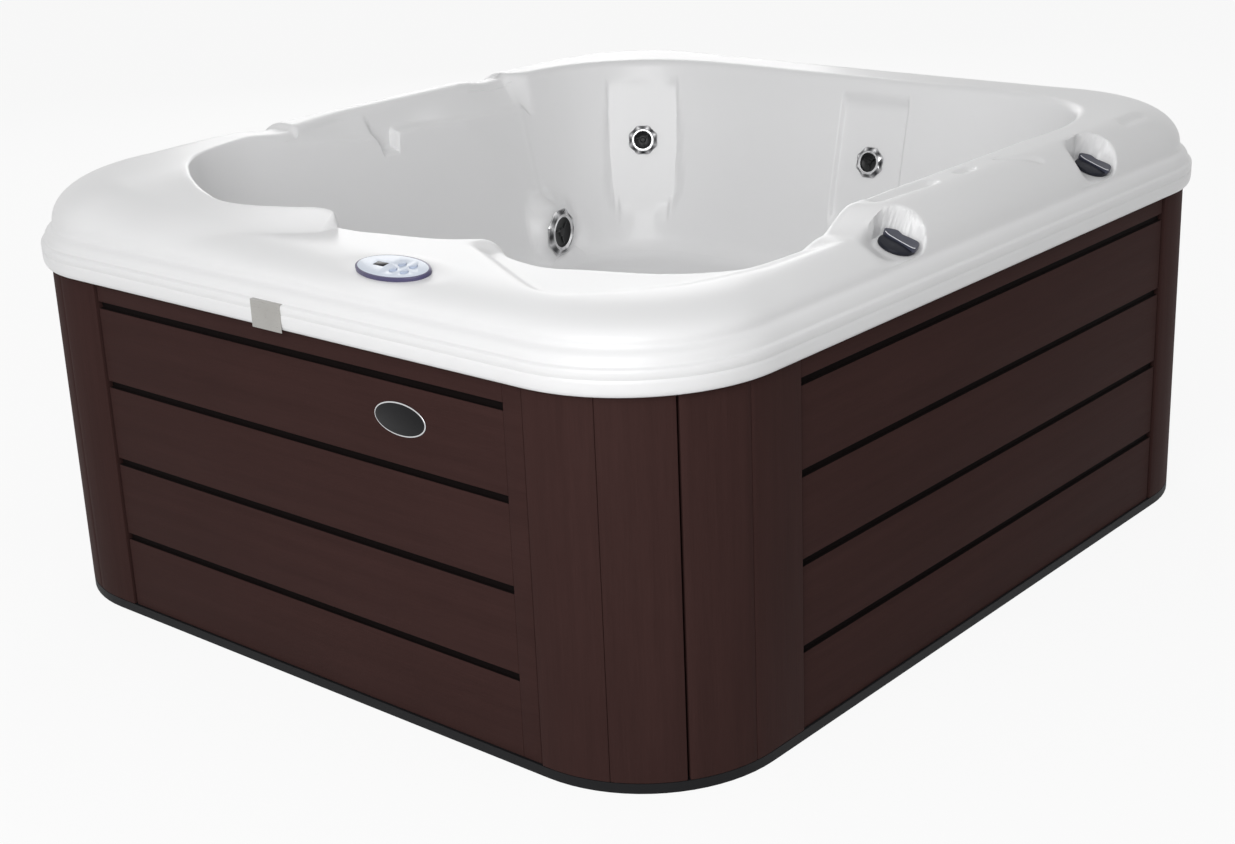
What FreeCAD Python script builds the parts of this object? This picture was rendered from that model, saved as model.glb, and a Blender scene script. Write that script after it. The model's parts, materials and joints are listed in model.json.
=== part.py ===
"""Hot tub: acrylic shell on a base pan, boarded cabinet, jets, valves, control and pump set.

Frame: origin at the bottom centre, +Z up, -Y the front with the control, +X the side with the valves.
Sizes are in millimetres and degrees, and the driving ones are the cells of the sheet "dims".
"""
import FreeCAD, Part
import math
import os
import re

from FreeCAD import Placement, Rotation, Vector

doc = FreeCAD.newDocument("hot_tub")
sheet = doc.addObject("Spreadsheet::Sheet", "dims")

DIMENSIONS = {
    # Cabinet
    "cabinet_width": 1670, "cabinet_length": 1900, "corner_radius": 262, "base_height": 18,
    "base_floor": 10, "base_rim": 70, "panel_thickness": 20, "panel_recess": 4, "panel_top": 700,
    "groove_first": 164, "groove_pitch": 156, "groove_height": 13, "groove_depth": 8,
    "groove_stile": 40, "board_gap": 4, "v_groove_width": 4, "flat_front_right": 14,
    "flat_right_front": 90, "flat_right_back": 21, "flat_front_left": 47, "frame_bar": 40,
    "frame_top": 640, "bolt_radius": 5, "bolt_head": 9, "bolt_clearance": 0.3, "bolt_recess": 4,
    "bolt_inset": 120,
    # Shell
    "lip_overhang": 15, "lip_bottom": 676, "band_top": 722, "bead_inset": 8, "bead_top": 762,
    "dome_inset": 24, "dome_radius": 74, "deck_drop": 38, "shell_wall": 8, "hole_reach": 24,
    "deck_left": -60, "deck_back": -310, "rim_left": 160, "rim_right": 160, "rim_front": 275,
    "rim_back": 215, "basin_draft": 108, "seat_height": 380, "corner_near": 220,
    "corner_right_back": 240, "corner_left_back": 320, "corner_left_front": 110,
    "scoop_radius": 367, "scoop_x": -297, "scoop_reach": 136, "footwell_width": 620,
    "footwell_length": 700, "footwell_draft": 50, "footwell_radius": 120, "footwell_floor": 62,
    "footwell_fillet": 25, "basin_fillet": 70,
    # Topside control
    "control_width": 160, "control_depth": 84, "control_x": 215, "control_inset": 90,
    "control_height": 791, "control_tilt": 10, "control_bezel": 7, "control_face_inset": 4,
    "control_face": 2, "control_body_width": 100, "control_body_depth": 50,
    "control_body_height": 38, "display_width": 26, "display_depth": 14, "display_x": -28,
    "button_radius": 7, "button_travel": 1.2, "button_pitch": 26, "button_row": 22, "button_x": 12,
    "button_stem": 6, "button_proud": 1.6, "running_gap": 0.4,
    # Jets
    "jet_bezel_radius": 37, "jet_throat_radius": 24, "jet_big_bezel_radius": 58,
    "jet_big_throat_radius": 40, "jet_bezel_proud": 9, "jet_cup": 55, "jet_tail_radius": 19,
    "jet_wall_gap": 0.3, "recess_width": 172, "recess_up": 150, "recess_down": 190,
    "recess_depth": 12, "recess_reach": 130, "jet_height": 651, "jet_low_height": 466,
    "jet_corner_yaw": -54, "jet_back_x": 93, "jet_cup_wall": 4, "jet_sleeve": 22,
    "jet_sleeve_wall": 3, "jet_nut": 13, "jet_tail": 32, "jet_pin_radius": 4, "jet_bevel": 4,
    "jet_scallop": 9, "jet_lobe_size": 0.33, "jet_lobe_spread": 0.58, "pin_gap": 0.1,
    "jet_left_y": 412, "jet_left_yaw": 10, "jet_boss_proud": 16, "jet_boss_radius": 66,
    # Valves
    "valve_inset": 62, "valve_front_y": -255, "valve_back_y": 432, "valve_height": 770,
    "valve_tilt": 20, "pocket_radius": 47, "pocket_reach": 150, "valve_stem_radius": 9,
    "valve_body_radius": 27, "valve_body_length": 84, "handle_radius": 33, "handle_skirt": 8,
    "handle_wing": 13, "valve_stem_length": 40,
    # Trim
    "badge_width": 120, "badge_height": 59, "badge_x": 281, "badge_z": 565, "badge_plate": 3,
    "badge_ring": 5, "plate_width": 76, "plate_height": 50, "plate_sheet": 1.2, "plate_x": -12,
    "plate_flange": 7,
    # Pump set and pipes
    "motor_radius": 80, "motor_length": 270, "foot_setback": 190, "foot_length": 135,
    "wet_radius": 96, "wet_length": 92, "wet_wall": 10, "pump_shaft_radius": 8, "shaft_depth": 60,
    "pump_x": -60, "pump_setback": 290, "pump_foot": 34, "impeller_radius": 68, "impeller_width": 26,
    "impeller_disc": 9, "impeller_gap": 6, "outlet_length": 30, "pipe_radius": 25, "pipe_wall": 4,
    "pipe_bend": 70, "pipe_lead": 105, "hose_radius": 14, "hose_bend": 40, "hose_straight": 60,
    "hose_turn_gap": 41, "hose_level": 560, "heater_radius": 34, "supply_run": 197,
    "heater_gap": 150, "heater_level": 330, "manifold_width": 60, "manifold_length": 180,
    "manifold_height": 120, "manifold_y": -312, "manifold_low": 385, "pack_width": 360,
    "pack_depth": 130, "pack_height": 220, "pack_x": 250, "pack_gap": 181,
    "suction_radius": 48, "suction_proud": 14,
    "suction_pitch": 212, "suction_height": 174, "suction_stub": 60, "suction_hole": 3.5,
    "slab_inset": 130, "drain_radius": 17, "drain_height": 90, "drain_offset": 71, "drain_proud": 12,
    "drain_cap_wall": 4, "gland_radius": 11, "gland_inset": 102, "gland_nut": 8,
}

for row, (alias, value) in enumerate(DIMENSIONS.items(), start=1):
    sheet.set(f"A{row}", alias)
    sheet.set(f"B{row}", str(value))
    sheet.setAlias(f"B{row}", alias)
doc.recompute()


def size(formula):
    """Value of a formula whose words are aliases of the sheet."""
    return float(sheet.evalExpression(formula))


def cells(formula):
    """The same formula with each alias written as a cell of the sheet."""
    def cell(word):
        alias = word.group(0)
        return f"dims.{alias}" if alias in DIMENSIONS else alias

    return re.sub(r"[a-z_]+", cell, formula)


def bind(solid, **formulas):
    """Tie properties of an object to the sheet."""
    for name, formula in formulas.items():
        solid.setExpression(name, cells(formula))
    return solid


def place(solid, x=0.0, y=0.0, z=0.0, rotation=None):
    """Set an object's Placement from numbers that size() gave."""
    solid.Placement = Placement(Vector(x, y, z), rotation or Rotation())
    return solid


def box(name, width, depth, height):
    return bind(doc.addObject("Part::Box", name), Length=width, Width=depth, Height=height)


def cylinder(name, radius, height):
    return bind(doc.addObject("Part::Cylinder", name), Radius=radius, Height=height)


def cone(name, radius_low, radius_high, height):
    return bind(doc.addObject("Part::Cone", name), Radius1=radius_low, Radius2=radius_high, Height=height)


def oval(name, width, depth, height):
    """Elliptical prism standing on its own XY plane."""
    outline = doc.addObject("Part::Ellipse", f"{name}_outline")
    bind(outline, MajorRadius=f"({width}) / 2", MinorRadius=f"({depth}) / 2")
    prism = doc.addObject("Part::Extrusion", name)
    prism.Base = outline
    prism.DirMode = "Custom"
    prism.Dir = Vector(0, 0, 1)
    prism.Solid = True
    return bind(prism, LengthFwd=height)


def fuse(name, *solids):
    joined = doc.addObject("Part::MultiFuse", name)
    joined.Shapes = list(solids)
    joined.Refine = True
    return joined


def cut(name, base, *tools):
    """Base less every tool."""
    result = doc.addObject("Part::Cut", name)
    result.Base = base
    result.Tool = tools[0] if len(tools) == 1 else fuse(f"{name}_tools", *tools)
    return result


def common(name, first, second):
    result = doc.addObject("Part::Common", name)
    result.Base = first
    result.Tool = second
    return result


def rounded(name, base, radius_of_edge):
    """Fillet the edges for which radius_of_edge(edge) gives a radius."""
    doc.recompute()
    fillet = doc.addObject("Part::Fillet", name)
    fillet.Base = base
    chosen = []
    for number, edge in enumerate(base.Shape.Edges, start=1):
        radius = radius_of_edge(edge)
        if radius:
            chosen.append((number, radius, radius))
    fillet.Edges = chosen
    return fillet


def is_upright(edge):
    """True for a straight edge that leans less than half a right angle from Z."""
    ends = [vertex.Point for vertex in edge.Vertexes]
    return len(ends) == 2 and abs(ends[1].z - ends[0].z) > UPRIGHT_SHARE * (ends[1] - ends[0]).Length


def is_level_at(edge, height):
    """True for an edge that lies in the plane z = height."""
    span = edge.BoundBox
    return max(abs(span.ZMin - height), abs(span.ZMax - height)) < LEVEL_TOLERANCE


def rounded_block(name, width, length, radius, low, height):
    """Prism of a rounded rectangle about the Z axis, from z = low."""
    block = box(f"{name}_block", width, length, height)
    place(block, -size(width) / 2, -size(length) / 2, size(low))
    corner = size(radius)
    return rounded(name, block, lambda edge: corner if is_upright(edge) else 0)


# Formulas that several sub-parts share
RIM_X = "(cabinet_width / 2 + lip_overhang)"
RIM_Y = "(cabinet_length / 2 + lip_overhang)"
RIM_TOP = "(bead_top + dome_radius)"
DECK_TOP = f"({RIM_TOP} - deck_drop)"
BASIN_LEFT = f"(rim_left - {RIM_X})"
BASIN_RIGHT = f"({RIM_X} - rim_right)"
BASIN_FRONT = f"(rim_front - {RIM_Y})"
BASIN_BACK = f"({RIM_Y} - rim_back)"
WELL_TOP = "(seat_height + shell_wall)"
PUMP_AXIS = "(base_floor + pump_foot + motor_radius)"
PANEL_X = "(cabinet_width / 2 - panel_recess)"
PANEL_Y = "(cabinet_length / 2 - panel_recess)"
FRAME_X = f"({PANEL_X} - panel_thickness - frame_bar)"
FRAME_Y = f"({PANEL_Y} - panel_thickness - frame_bar)"
PUMP_Y = "(-footwell_length / 2 - pump_setback)"
HEATER_START = "(pump_x + wet_length / 2 - heater_gap)"
HEATER_LENGTH = f"({FRAME_X} - manifold_width / 2 - supply_run + {HEATER_START})"

FRONT_PANEL_LEFT = "(flat_front_left + corner_radius + board_gap - cabinet_width / 2)"
FRONT_PANEL_WIDTH = "(cabinet_width - 2 * corner_radius - flat_front_left - flat_front_right - 2 * board_gap)"
RIGHT_PANEL_FRONT = "(flat_right_front + corner_radius + board_gap - cabinet_length / 2)"
RIGHT_PANEL_WIDTH = ("(cabinet_length - 2 * corner_radius - flat_right_front - flat_right_back"
                     " - 2 * board_gap)")
BOARD = "(panel_thickness + panel_recess)"
ACROSS = "(cabinet_width - 2 * corner_radius)"
ALONG = "(cabinet_length - 2 * corner_radius)"
DRAIN_X = f"(drain_offset - {ACROSS} / 6)"
GLAND_X = f"(-gland_inset - {FRONT_PANEL_LEFT})"
GROOVES = 4
STUDS = 4
SCALLOPS = 8
LOBES = 3
GRILLE_HOLES = 8
BLADES = 6
HOSES = 3

# Share of an edge's length that its rise reaches before the edge counts as upright
UPRIGHT_SHARE = 0.7
LEVEL_TOLERANCE = 1e-3
VOLUME_TOLERANCE = 0.01

nodes = {}


def node(name, solid):
    """Keep a finished sub-part under the name of its file."""
    solid.Label = name
    nodes[name] = solid
    return solid


def at(x=0.0, y=0.0, z=0.0, axis=Vector(0, 0, 1), angle=0.0):
    """Placement at a point, turned about an axis."""
    return Placement(Vector(x, y, z), Rotation(axis, angle))


def grooved_panel(name, width, stile, placement, holes=()):
    """Board whose outer face has level grooves that stop short of one edge by the stile."""
    length = f"({width} - {stile})"
    board = box(f"{name}_board", width, "panel_thickness", "panel_top - base_height")
    board.Placement = placement * at(z=size("base_height"))
    grooves = []
    for step in range(GROOVES):
        groove = box(f"{name}_groove_{step}", length, "groove_depth", "groove_height")
        groove.Placement = placement * at(z=size(f"groove_first - groove_height / 2 + {step} * groove_pitch"))
        grooves.append(groove)
    node(name, cut(f"{name}_cut", board, *grooves, *holes))


def ladder_frame(name, length, placement):
    """Timber frame of two rails and upright studs, with two bolt holes in its lower rail."""
    pieces = []
    for rail, low in (("low", "base_height"), ("high", "frame_top - frame_bar")):
        bar = box(f"{name}_{rail}", length, "frame_bar", "frame_bar")
        bar.Placement = placement * at(-size(length) / 2, 0, size(low))
        pieces.append(bar)
    for stud in range(STUDS):
        post = box(f"{name}_stud_{stud}", "frame_bar", "frame_bar", "frame_top - base_height")
        x = size(f"-{length} / 2 + {stud} * ({length} - frame_bar) / {STUDS - 1}")
        post.Placement = placement * at(x, 0, size("base_height"))
        pieces.append(post)
    holes = []
    for number, x in enumerate(bolt_places(length)):
        hole = cylinder(f"{name}_hole_{number}", "bolt_radius + bolt_clearance", "frame_bar")
        hole.Placement = placement * at(x, size("frame_bar / 2"), size("base_height"))
        holes.append(hole)
    node(name, cut(f"{name}_drilled", fuse(f"{name}_ladder", *pieces), *holes))


def bolt_places(length):
    """Distances of a frame's two bolts from its middle."""
    reach = size(f"{length} / 2 - bolt_inset")
    return (-reach, reach)


def frame_bolts(sides):
    """Bolts that hold the frames to the base pan."""
    bolts = []
    for name, length, placement in sides:
        for number, x in enumerate(bolt_places(length)):
            shank = cylinder(f"{name}_shank_{number}", "bolt_radius", "frame_bar + base_height - bolt_recess")
            head = cylinder(f"{name}_head_{number}", "bolt_head", "bolt_radius")
            axis = placement * at(x, size("frame_bar / 2"))
            shank.Placement = axis * at(z=size("bolt_recess"))
            head.Placement = axis * at(z=size("frame_bar + base_height"))
            bolts.append(fuse(f"{name}_bolt_{number}", shank, head))
    group = doc.addObject("Part::Compound", "bolts")
    group.Links = bolts
    node("frame_bolts", group)


def base_pan(sides):
    """Black tray under the whole tub; its broad edge carries the frames and the boards."""
    tray = rounded_block("pan_tray", "cabinet_width", "cabinet_length", "corner_radius", "0", "base_height")
    hollow = rounded_block(
        "pan_hollow", "cabinet_width - 2 * base_rim", "cabinet_length - 2 * base_rim",
        "corner_radius - base_rim", "base_floor", "base_height")
    holes = []
    for name, length, placement in sides:
        for number, x in enumerate(bolt_places(length)):
            hole = cylinder(f"{name}_pan_hole_{number}", "bolt_radius + bolt_clearance", "base_height")
            hole.Placement = placement * at(x, size("frame_bar / 2"))
            holes.append(hole)
    node("base_pan", cut("pan", tray, hollow, *holes))


def sector(name, outer, inner, angle, height):
    """Part of a ring, from the X axis through the angle."""
    full = bind(cylinder(f"{name}_outer", outer, height), Angle=angle)
    bore = bind(cylinder(f"{name}_inner", inner, height), Angle=angle)
    return cut(name, full, bore)


def corner_boards(name, flat_first, flat_second, placement):
    """Two curved boards round a corner, each with a V groove at its middle.

    In the corner's own frame the round is centred on the origin and runs from the -Y side to the +X side.
    """
    height = "(panel_top - base_height)"
    low = size("base_height")
    whole = f"({flat_first} + corner_radius * pi / 2 + {flat_second})"
    split = f"(({whole} / 2 - {flat_first}) / corner_radius * 180 / pi)"
    gap = "(board_gap / corner_radius * 180 / pi)"
    inner = f"corner_radius - {BOARD}"

    arc = sector(f"{name}_a_arc", "corner_radius", inner, f"{split} - {gap} / 2", height)
    arc.Placement = at(z=low, angle=-90)
    flat = box(f"{name}_a_flat", flat_first, BOARD, height)
    flat.Placement = at(-size(flat_first), -size("corner_radius"), low)
    first = fuse(f"{name}_a_plain", arc, flat)

    arc = sector(f"{name}_b_arc", "corner_radius", inner, f"90 - {split} - {gap} / 2", height)
    arc.Placement = at(z=low, angle=-90 + size(f"{split} + {gap} / 2"))
    flat = box(f"{name}_b_flat", BOARD, flat_second, height)
    flat.Placement = at(size(inner), 0, low)
    second = fuse(f"{name}_b_plain", arc, flat)

    for letter, plain, quarter in (("a", first, 1), ("b", second, 3)):
        turn = size(f"({quarter} * {whole} / 4 - {flat_first}) / corner_radius * 180 / pi") - 90
        groove = box(f"{name}_{letter}_vee", "v_groove_width", "v_groove_width", height)
        centre = at(angle=turn) * at(size("corner_radius"), 0, low, angle=45)
        groove.Placement = centre * at(-size("v_groove_width / 2"), -size("v_groove_width / 2"))
        board = cut(f"{name}_{letter}_board", plain, groove)
        board.Placement = placement
        node(f"{name}_{letter}", board)


def cabinet():
    """Base pan, frames, bolts, panels and corner boards; each side is the opposite one turned half round."""
    half_turn = at(angle=180)
    frame_x = size(f"{PANEL_X} - panel_thickness")
    frame_y = size(f"{PANEL_Y} - panel_thickness")
    front_frame = at(0, -frame_y)
    right_frame = at(frame_x, 0, angle=90)
    front_panel = at(size(FRONT_PANEL_LEFT), -size(PANEL_Y))
    right_panel = at(size(PANEL_X), size(RIGHT_PANEL_FRONT), angle=90)
    round_x = size("cabinet_width / 2 - corner_radius")
    round_y = size("cabinet_length / 2 - corner_radius")
    front_right = at(round_x, -round_y)
    back_right = at(round_x, round_y, angle=90)

    sides = [
        ("frame_front", ACROSS, front_frame), ("frame_right", ALONG, right_frame),
        ("frame_back", ACROSS, half_turn * front_frame), ("frame_left", ALONG, half_turn * right_frame)]
    for name, length, placement in sides:
        ladder_frame(name, length, placement)
    frame_bolts(sides)
    base_pan(sides)
    grooved_panel("panel_front", FRONT_PANEL_WIDTH, "groove_stile", front_panel)
    grooved_panel("panel_back", FRONT_PANEL_WIDTH, "groove_stile", half_turn * front_panel, wall_holes())
    grooved_panel("panel_right", RIGHT_PANEL_WIDTH, "0", right_panel)
    grooved_panel("panel_left", RIGHT_PANEL_WIDTH, "0", half_turn * right_panel)
    corner_boards("board_front_right", "flat_front_right", "flat_right_front", front_right)
    corner_boards("board_back_left", "flat_front_right", "flat_right_front", half_turn * front_right)
    corner_boards("board_back_right", "flat_right_back", "flat_front_left", back_right)
    corner_boards("board_front_left", "flat_right_back", "flat_front_left", half_turn * back_right)


def dome(name, wall, low, top, radius):
    """Rounded block whose upper edge rolls over, drawn in by the wall."""
    inset = f"(dome_inset + {wall})"
    block = rounded_block(
        f"{name}_prism", f"2 * ({RIM_X} - {inset})", f"2 * ({RIM_Y} - {inset})",
        f"corner_radius + lip_overhang - {inset}", low, f"{top} - {wall} - {low}")
    roll = size(f"{radius} - {wall}")
    height = size(f"{top} - {wall}")
    return rounded(name, block, lambda edge: roll if is_level_at(edge, height) else 0)


def rim_form(name, wall):
    """Rolled rim drawn in by the wall: lower band, bead and a domed top that drops to the control deck."""
    low = "lip_bottom" if wall == "0" else f"(lip_bottom - {wall})"
    forms = []
    for layer, inset, top in (("band", "0", "band_top"), ("bead", "bead_inset", "bead_top")):
        forms.append(rounded_block(
            f"{name}_{layer}", f"2 * ({RIM_X} - {inset} - {wall})", f"2 * ({RIM_Y} - {inset} - {wall})",
            f"corner_radius + lip_overhang - {inset} - {wall}", low, f"{top} - {wall} - {low}"))
    forms.append(dome(f"{name}_deck", wall, low, DECK_TOP, "(dome_radius - deck_drop)"))
    crest = dome(f"{name}_crest", wall, low, RIM_TOP, "dome_radius")
    dropped = box(f"{name}_drop", f"{RIM_X} - deck_left + {wall}", f"{RIM_Y} + deck_back + {wall}",
                  f"2 * {RIM_TOP}")
    place(dropped, size(f"deck_left - {wall}"), -size(RIM_Y))
    forms.append(cut(f"{name}_raised", crest, dropped))
    return fuse(name, *forms)


def tapered_block(name, left, right, front, back, low, high, draft, grow, radii, fillet):
    """Block that narrows by the draft towards its floor, grown on every side, with rounded corners."""
    block = doc.addObject("Part::Wedge", f"{name}_wedge")
    bind(block, Ymin=f"{low} - {grow}", Ymax=high)
    bind(block, Xmin=f"{left} + {draft} - {grow}", Xmax=f"{right} - {draft} + {grow}")
    bind(block, X2min=f"{left} - {grow}", X2max=f"{right} + {grow}")
    bind(block, Zmin=f"-({back} - {draft} + {grow})", Zmax=f"-({front} + {draft} - {grow})")
    bind(block, Z2min=f"-({back} + {grow})", Z2max=f"-({front} - {grow})")
    block.Placement = at(axis=Vector(1, 0, 0), angle=90)
    middle_x = size(f"({left} + {right}) / 2")
    middle_y = size(f"({front} + {back}) / 2")
    spread = size(grow)

    def corner_of(edge):
        if not is_upright(edge):
            return 0
        centre = edge.CenterOfMass
        return size(radii[centre.x > middle_x, centre.y > middle_y]) + spread

    upright = rounded(f"{name}_corners", block, corner_of)
    floor = size(f"{low} - {grow}")
    sweep = size(fillet) + spread
    return rounded(name, upright, lambda edge: sweep if is_level_at(edge, floor) else 0)


def jet_place(x, y, z, yaw, pitch):
    """Frame on a jet's landing: local Z points into the water and local X points down the wall."""
    turn = Rotation(Vector(0, 0, 1), yaw) * Rotation(Vector(0, 1, 0), 90 - pitch)
    return Placement(Vector(x, y, z), turn)


def jet_places():
    """Landing frames of the three jets, on the drafted walls of the basin."""
    lean = math.degrees(math.atan(size(f"basin_draft / ({RIM_TOP} - seat_height)")))
    inset = size(f"basin_draft * ({RIM_TOP} - jet_height) / ({RIM_TOP} - seat_height)")
    low_inset = size(f"basin_draft * ({RIM_TOP} - jet_low_height) / ({RIM_TOP} - seat_height)")
    corner = size("corner_left_back")
    yaw = math.radians(size("jet_corner_yaw"))
    reach = corner + size("recess_depth")
    corner_x = size(BASIN_LEFT) + inset + corner - reach * math.cos(yaw)
    corner_y = size(BASIN_BACK) - inset - corner - reach * math.sin(yaw)
    height = size("jet_height")
    return {
        "corner": jet_place(corner_x, corner_y, height, size("jet_corner_yaw"), lean),
        "back": jet_place(size("jet_back_x"), size(f"{BASIN_BACK} + recess_depth") - inset, height,
                          -90, lean),
        "left": jet_place(size(f"{BASIN_LEFT} + jet_boss_proud") + low_inset, size("jet_left_y"),
                          size("jet_low_height"), size("jet_left_yaw"), 0),
    }


def basin_form(name, grow):
    """Bathing space grown by the wall: bench basin, footwell, head scoop, recesses and jet landings."""
    high = f"({RIM_TOP} + shell_wall)"
    radii = {(False, False): "corner_left_front", (True, False): "corner_near",
             (False, True): "corner_left_back", (True, True): "corner_right_back"}
    bench = tapered_block(f"{name}_bench", BASIN_LEFT, BASIN_RIGHT, BASIN_FRONT, BASIN_BACK,
                          "seat_height", high, "basin_draft", grow, radii, "basin_fillet")
    well = tapered_block(f"{name}_well", "(-footwell_width / 2)", "(footwell_width / 2)",
                         "(-footwell_length / 2)", "(footwell_length / 2)", "footwell_floor",
                         WELL_TOP, "footwell_draft", grow, dict.fromkeys(radii, "footwell_radius"),
                         "footwell_fillet")
    scoop_floor = f"(seat_height + basin_fillet - {grow})"
    scoop = cone(f"{name}_scoop", f"scoop_radius - scoop_reach + {grow}", f"scoop_radius + {grow}",
                 f"{high} - {scoop_floor}")
    place(scoop, size("scoop_x"), size(f"{BASIN_FRONT} + scoop_radius - scoop_reach"), size(scoop_floor))
    spaces = [bench, well, scoop]
    frames = jet_places()
    for jet in ("corner", "back"):
        recess = box(f"{name}_recess_{jet}", f"recess_up + recess_down + 2 * {grow}",
                     f"recess_width + 2 * {grow}", "recess_reach")
        recess.Placement = frames[jet] * at(
            -size(f"recess_up + {grow}"), -size(f"recess_width / 2 + {grow}"), -size(grow))
        spaces.append(recess)
    landing = cylinder(f"{name}_landing", f"jet_boss_radius + {grow}", "recess_reach")
    landing.Placement = frames["left"] * at(z=-size(grow))
    boss = cylinder(f"{name}_boss", f"jet_boss_radius - {grow}", "recess_reach")
    boss.Placement = frames["left"] * at(z=-size(f"recess_reach + {grow}"))
    return cut(name, fuse(f"{name}_space", *spaces, landing), boss)


def valve_places():
    """Frames on the floors of the two valve pockets: local Z is the axis that the handle turns on."""
    x = size(f"{RIM_X} - valve_inset")
    lean = size("valve_tilt")
    return {end: at(x, size(f"valve_{end}_y"), size("valve_height"), Vector(0, 1, 0), lean)
            for end in ("front", "back")}


def control_place():
    """Frame on the deck where the control sits: local Z is square to its face."""
    return at(size("control_x"), size(f"control_inset - {RIM_Y}"), size("control_height"),
              Vector(1, 0, 0), size("control_tilt"))


def rim_pockets(name, wall):
    """Valve pockets and the control's flat seat, grown by the wall."""
    pockets = []
    for end, frame in valve_places().items():
        pocket = cylinder(f"{name}_{end}", f"pocket_radius + {wall}", "pocket_reach")
        pocket.Placement = frame * at(z=-size(wall))
        pockets.append(pocket)
    seat = oval(f"{name}_seat", f"control_width + 2 * running_gap + 2 * {wall}",
                f"control_depth + 2 * running_gap + 2 * {wall}", "pocket_reach")
    seat.Placement = control_place() * at(z=-size(wall))
    return pockets + [seat]


def shell():
    """Acrylic moulding of even wall, from the rolled rim down to the footwell floor."""
    outer = basin_form("basin_outer", "shell_wall")
    inner = basin_form("basin_inner", "0")
    rim = rim_form("rim_outer", "0")
    pockets = rim_pockets("pocket_outer", "shell_wall")
    hollow = cut("rim_hollow", rim_form("rim_inner", "shell_wall"), outer, *pockets)
    skin = cut("rim_skin", rim, hollow)
    below = box("below_rim", f"2 * {RIM_X}", f"2 * {RIM_Y}", "lip_bottom + shell_wall")
    place(below, -size(RIM_X), -size(RIM_Y))
    blank = fuse("shell_blank", skin, common("bowl_outer", outer, below))
    openings = [inner, *rim_pockets("pocket_inner", "0"), *shell_holes()]
    node("shell", cut("shell_cut", blank, *openings))


def shell_holes():
    """Holes for the jets, the valve stems, the control body, the suctions and the drain."""
    holes = []
    for jet, frame in jet_places().items():
        throat = "jet_big_throat_radius" if jet == "left" else "jet_throat_radius"
        hole = cylinder(f"hole_jet_{jet}", f"{throat} + jet_wall_gap", "2 * jet_cup")
        hole.Placement = frame * at(z=-size("jet_cup"))
        holes.append(hole)
    for end, frame in valve_places().items():
        hole = cylinder(f"hole_valve_{end}", "valve_stem_radius + running_gap", "2 * hole_reach")
        hole.Placement = frame * at(z=-size("hole_reach"))
        holes.append(hole)
    slot = box("hole_control", "control_body_width + 2 * running_gap",
               "control_body_depth + 2 * running_gap", "2 * control_body_height")
    slot.Placement = control_place() * at(
        -size("control_body_width / 2 + running_gap"), -size("control_body_depth / 2 + running_gap"),
        -size("control_body_height"))
    for hand, frame in suction_places().items():
        hole = cylinder(f"hole_suction_{hand}", "pipe_radius + jet_wall_gap", "2 * hole_reach")
        hole.Placement = frame * at(z=-size("hole_reach"))
        holes.append(hole)
    outfall = cylinder("hole_drain", "drain_radius - pipe_wall", "footwell_length / 2")
    outfall.Placement = at(
        size(DRAIN_X), size("footwell_length / 4"), size("drain_height"), Vector(1, 0, 0), -90)
    return holes + [slot, outfall]


def jet(name, frame, bezel_radius, throat):
    """Jet: a cup behind the wall, a scalloped bezel that turns and a nozzle that spins on a pin."""
    bore = f"({throat} - jet_cup_wall)"
    sleeve = f"({bore} - jet_wall_gap)"
    spinner = f"({sleeve} - jet_sleeve_wall - jet_wall_gap)"

    def along(solid, low):
        solid.Placement = frame * at(z=size(low))
        return solid

    cup = along(cylinder(f"{name}_cup", throat, "jet_cup"), "-jet_cup")
    nut = along(cylinder(f"{name}_nut", f"{throat} + jet_nut", "shell_wall"), "-2 * shell_wall")
    tail = cylinder(f"{name}_tail", "jet_tail_radius", "jet_tail + jet_cup_wall")
    along(tail, "-jet_cup - jet_tail")
    hollow = along(cylinder(f"{name}_hollow", bore, "jet_cup"), "jet_cup_wall - jet_cup")
    pin = along(cylinder(f"{name}_pin", "jet_pin_radius", "jet_cup - jet_sleeve / 2"), "-jet_cup")
    casing = cut(f"{name}_shell", fuse(f"{name}_solid", cup, nut, tail), hollow)
    node(f"{name}_body", fuse(f"{name}_housing", casing, pin))

    plate = cone(f"{name}_plate", bezel_radius, f"{bezel_radius} - jet_bevel", "jet_bezel_proud")
    along(plate, "jet_wall_gap")
    collar = along(cylinder(f"{name}_collar", sleeve, "jet_sleeve + jet_wall_gap"), "-jet_sleeve")
    mouth = along(cylinder(f"{name}_mouth", f"{spinner} + jet_wall_gap", "2 * jet_cup"), "-jet_cup")
    scallops = []
    for number in range(SCALLOPS):
        scallop = cylinder(f"{name}_scallop_{number}", "jet_scallop", "jet_cup")
        turn = at(angle=360 * number / SCALLOPS)
        scallop.Placement = frame * turn * at(size(f"{bezel_radius} + jet_scallop / 2"))
        scallops.append(scallop)
    node(f"{name}_bezel", cut(f"{name}_ring", fuse(f"{name}_cover", plate, collar), mouth, *scallops))

    disc = cylinder(f"{name}_disc", spinner, "jet_sleeve + jet_bezel_proud - jet_bevel")
    socket = cylinder(f"{name}_socket", "jet_pin_radius + pin_gap", "jet_sleeve / 2 + jet_wall_gap")
    along(disc, "-jet_sleeve")
    along(socket, "-jet_sleeve")
    lobes = []
    for number in range(LOBES):
        lobe = cylinder(f"{name}_lobe_{number}", f"{spinner} * jet_lobe_size", "2 * jet_cup")
        turn = at(angle=360 * number / LOBES)
        lobe.Placement = frame * turn * at(size(f"{spinner} * jet_lobe_spread"), 0, -size("jet_cup"))
        lobes.append(lobe)
    node(f"{name}_nozzle", cut(f"{name}_rotor", disc, socket, *lobes))


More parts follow.
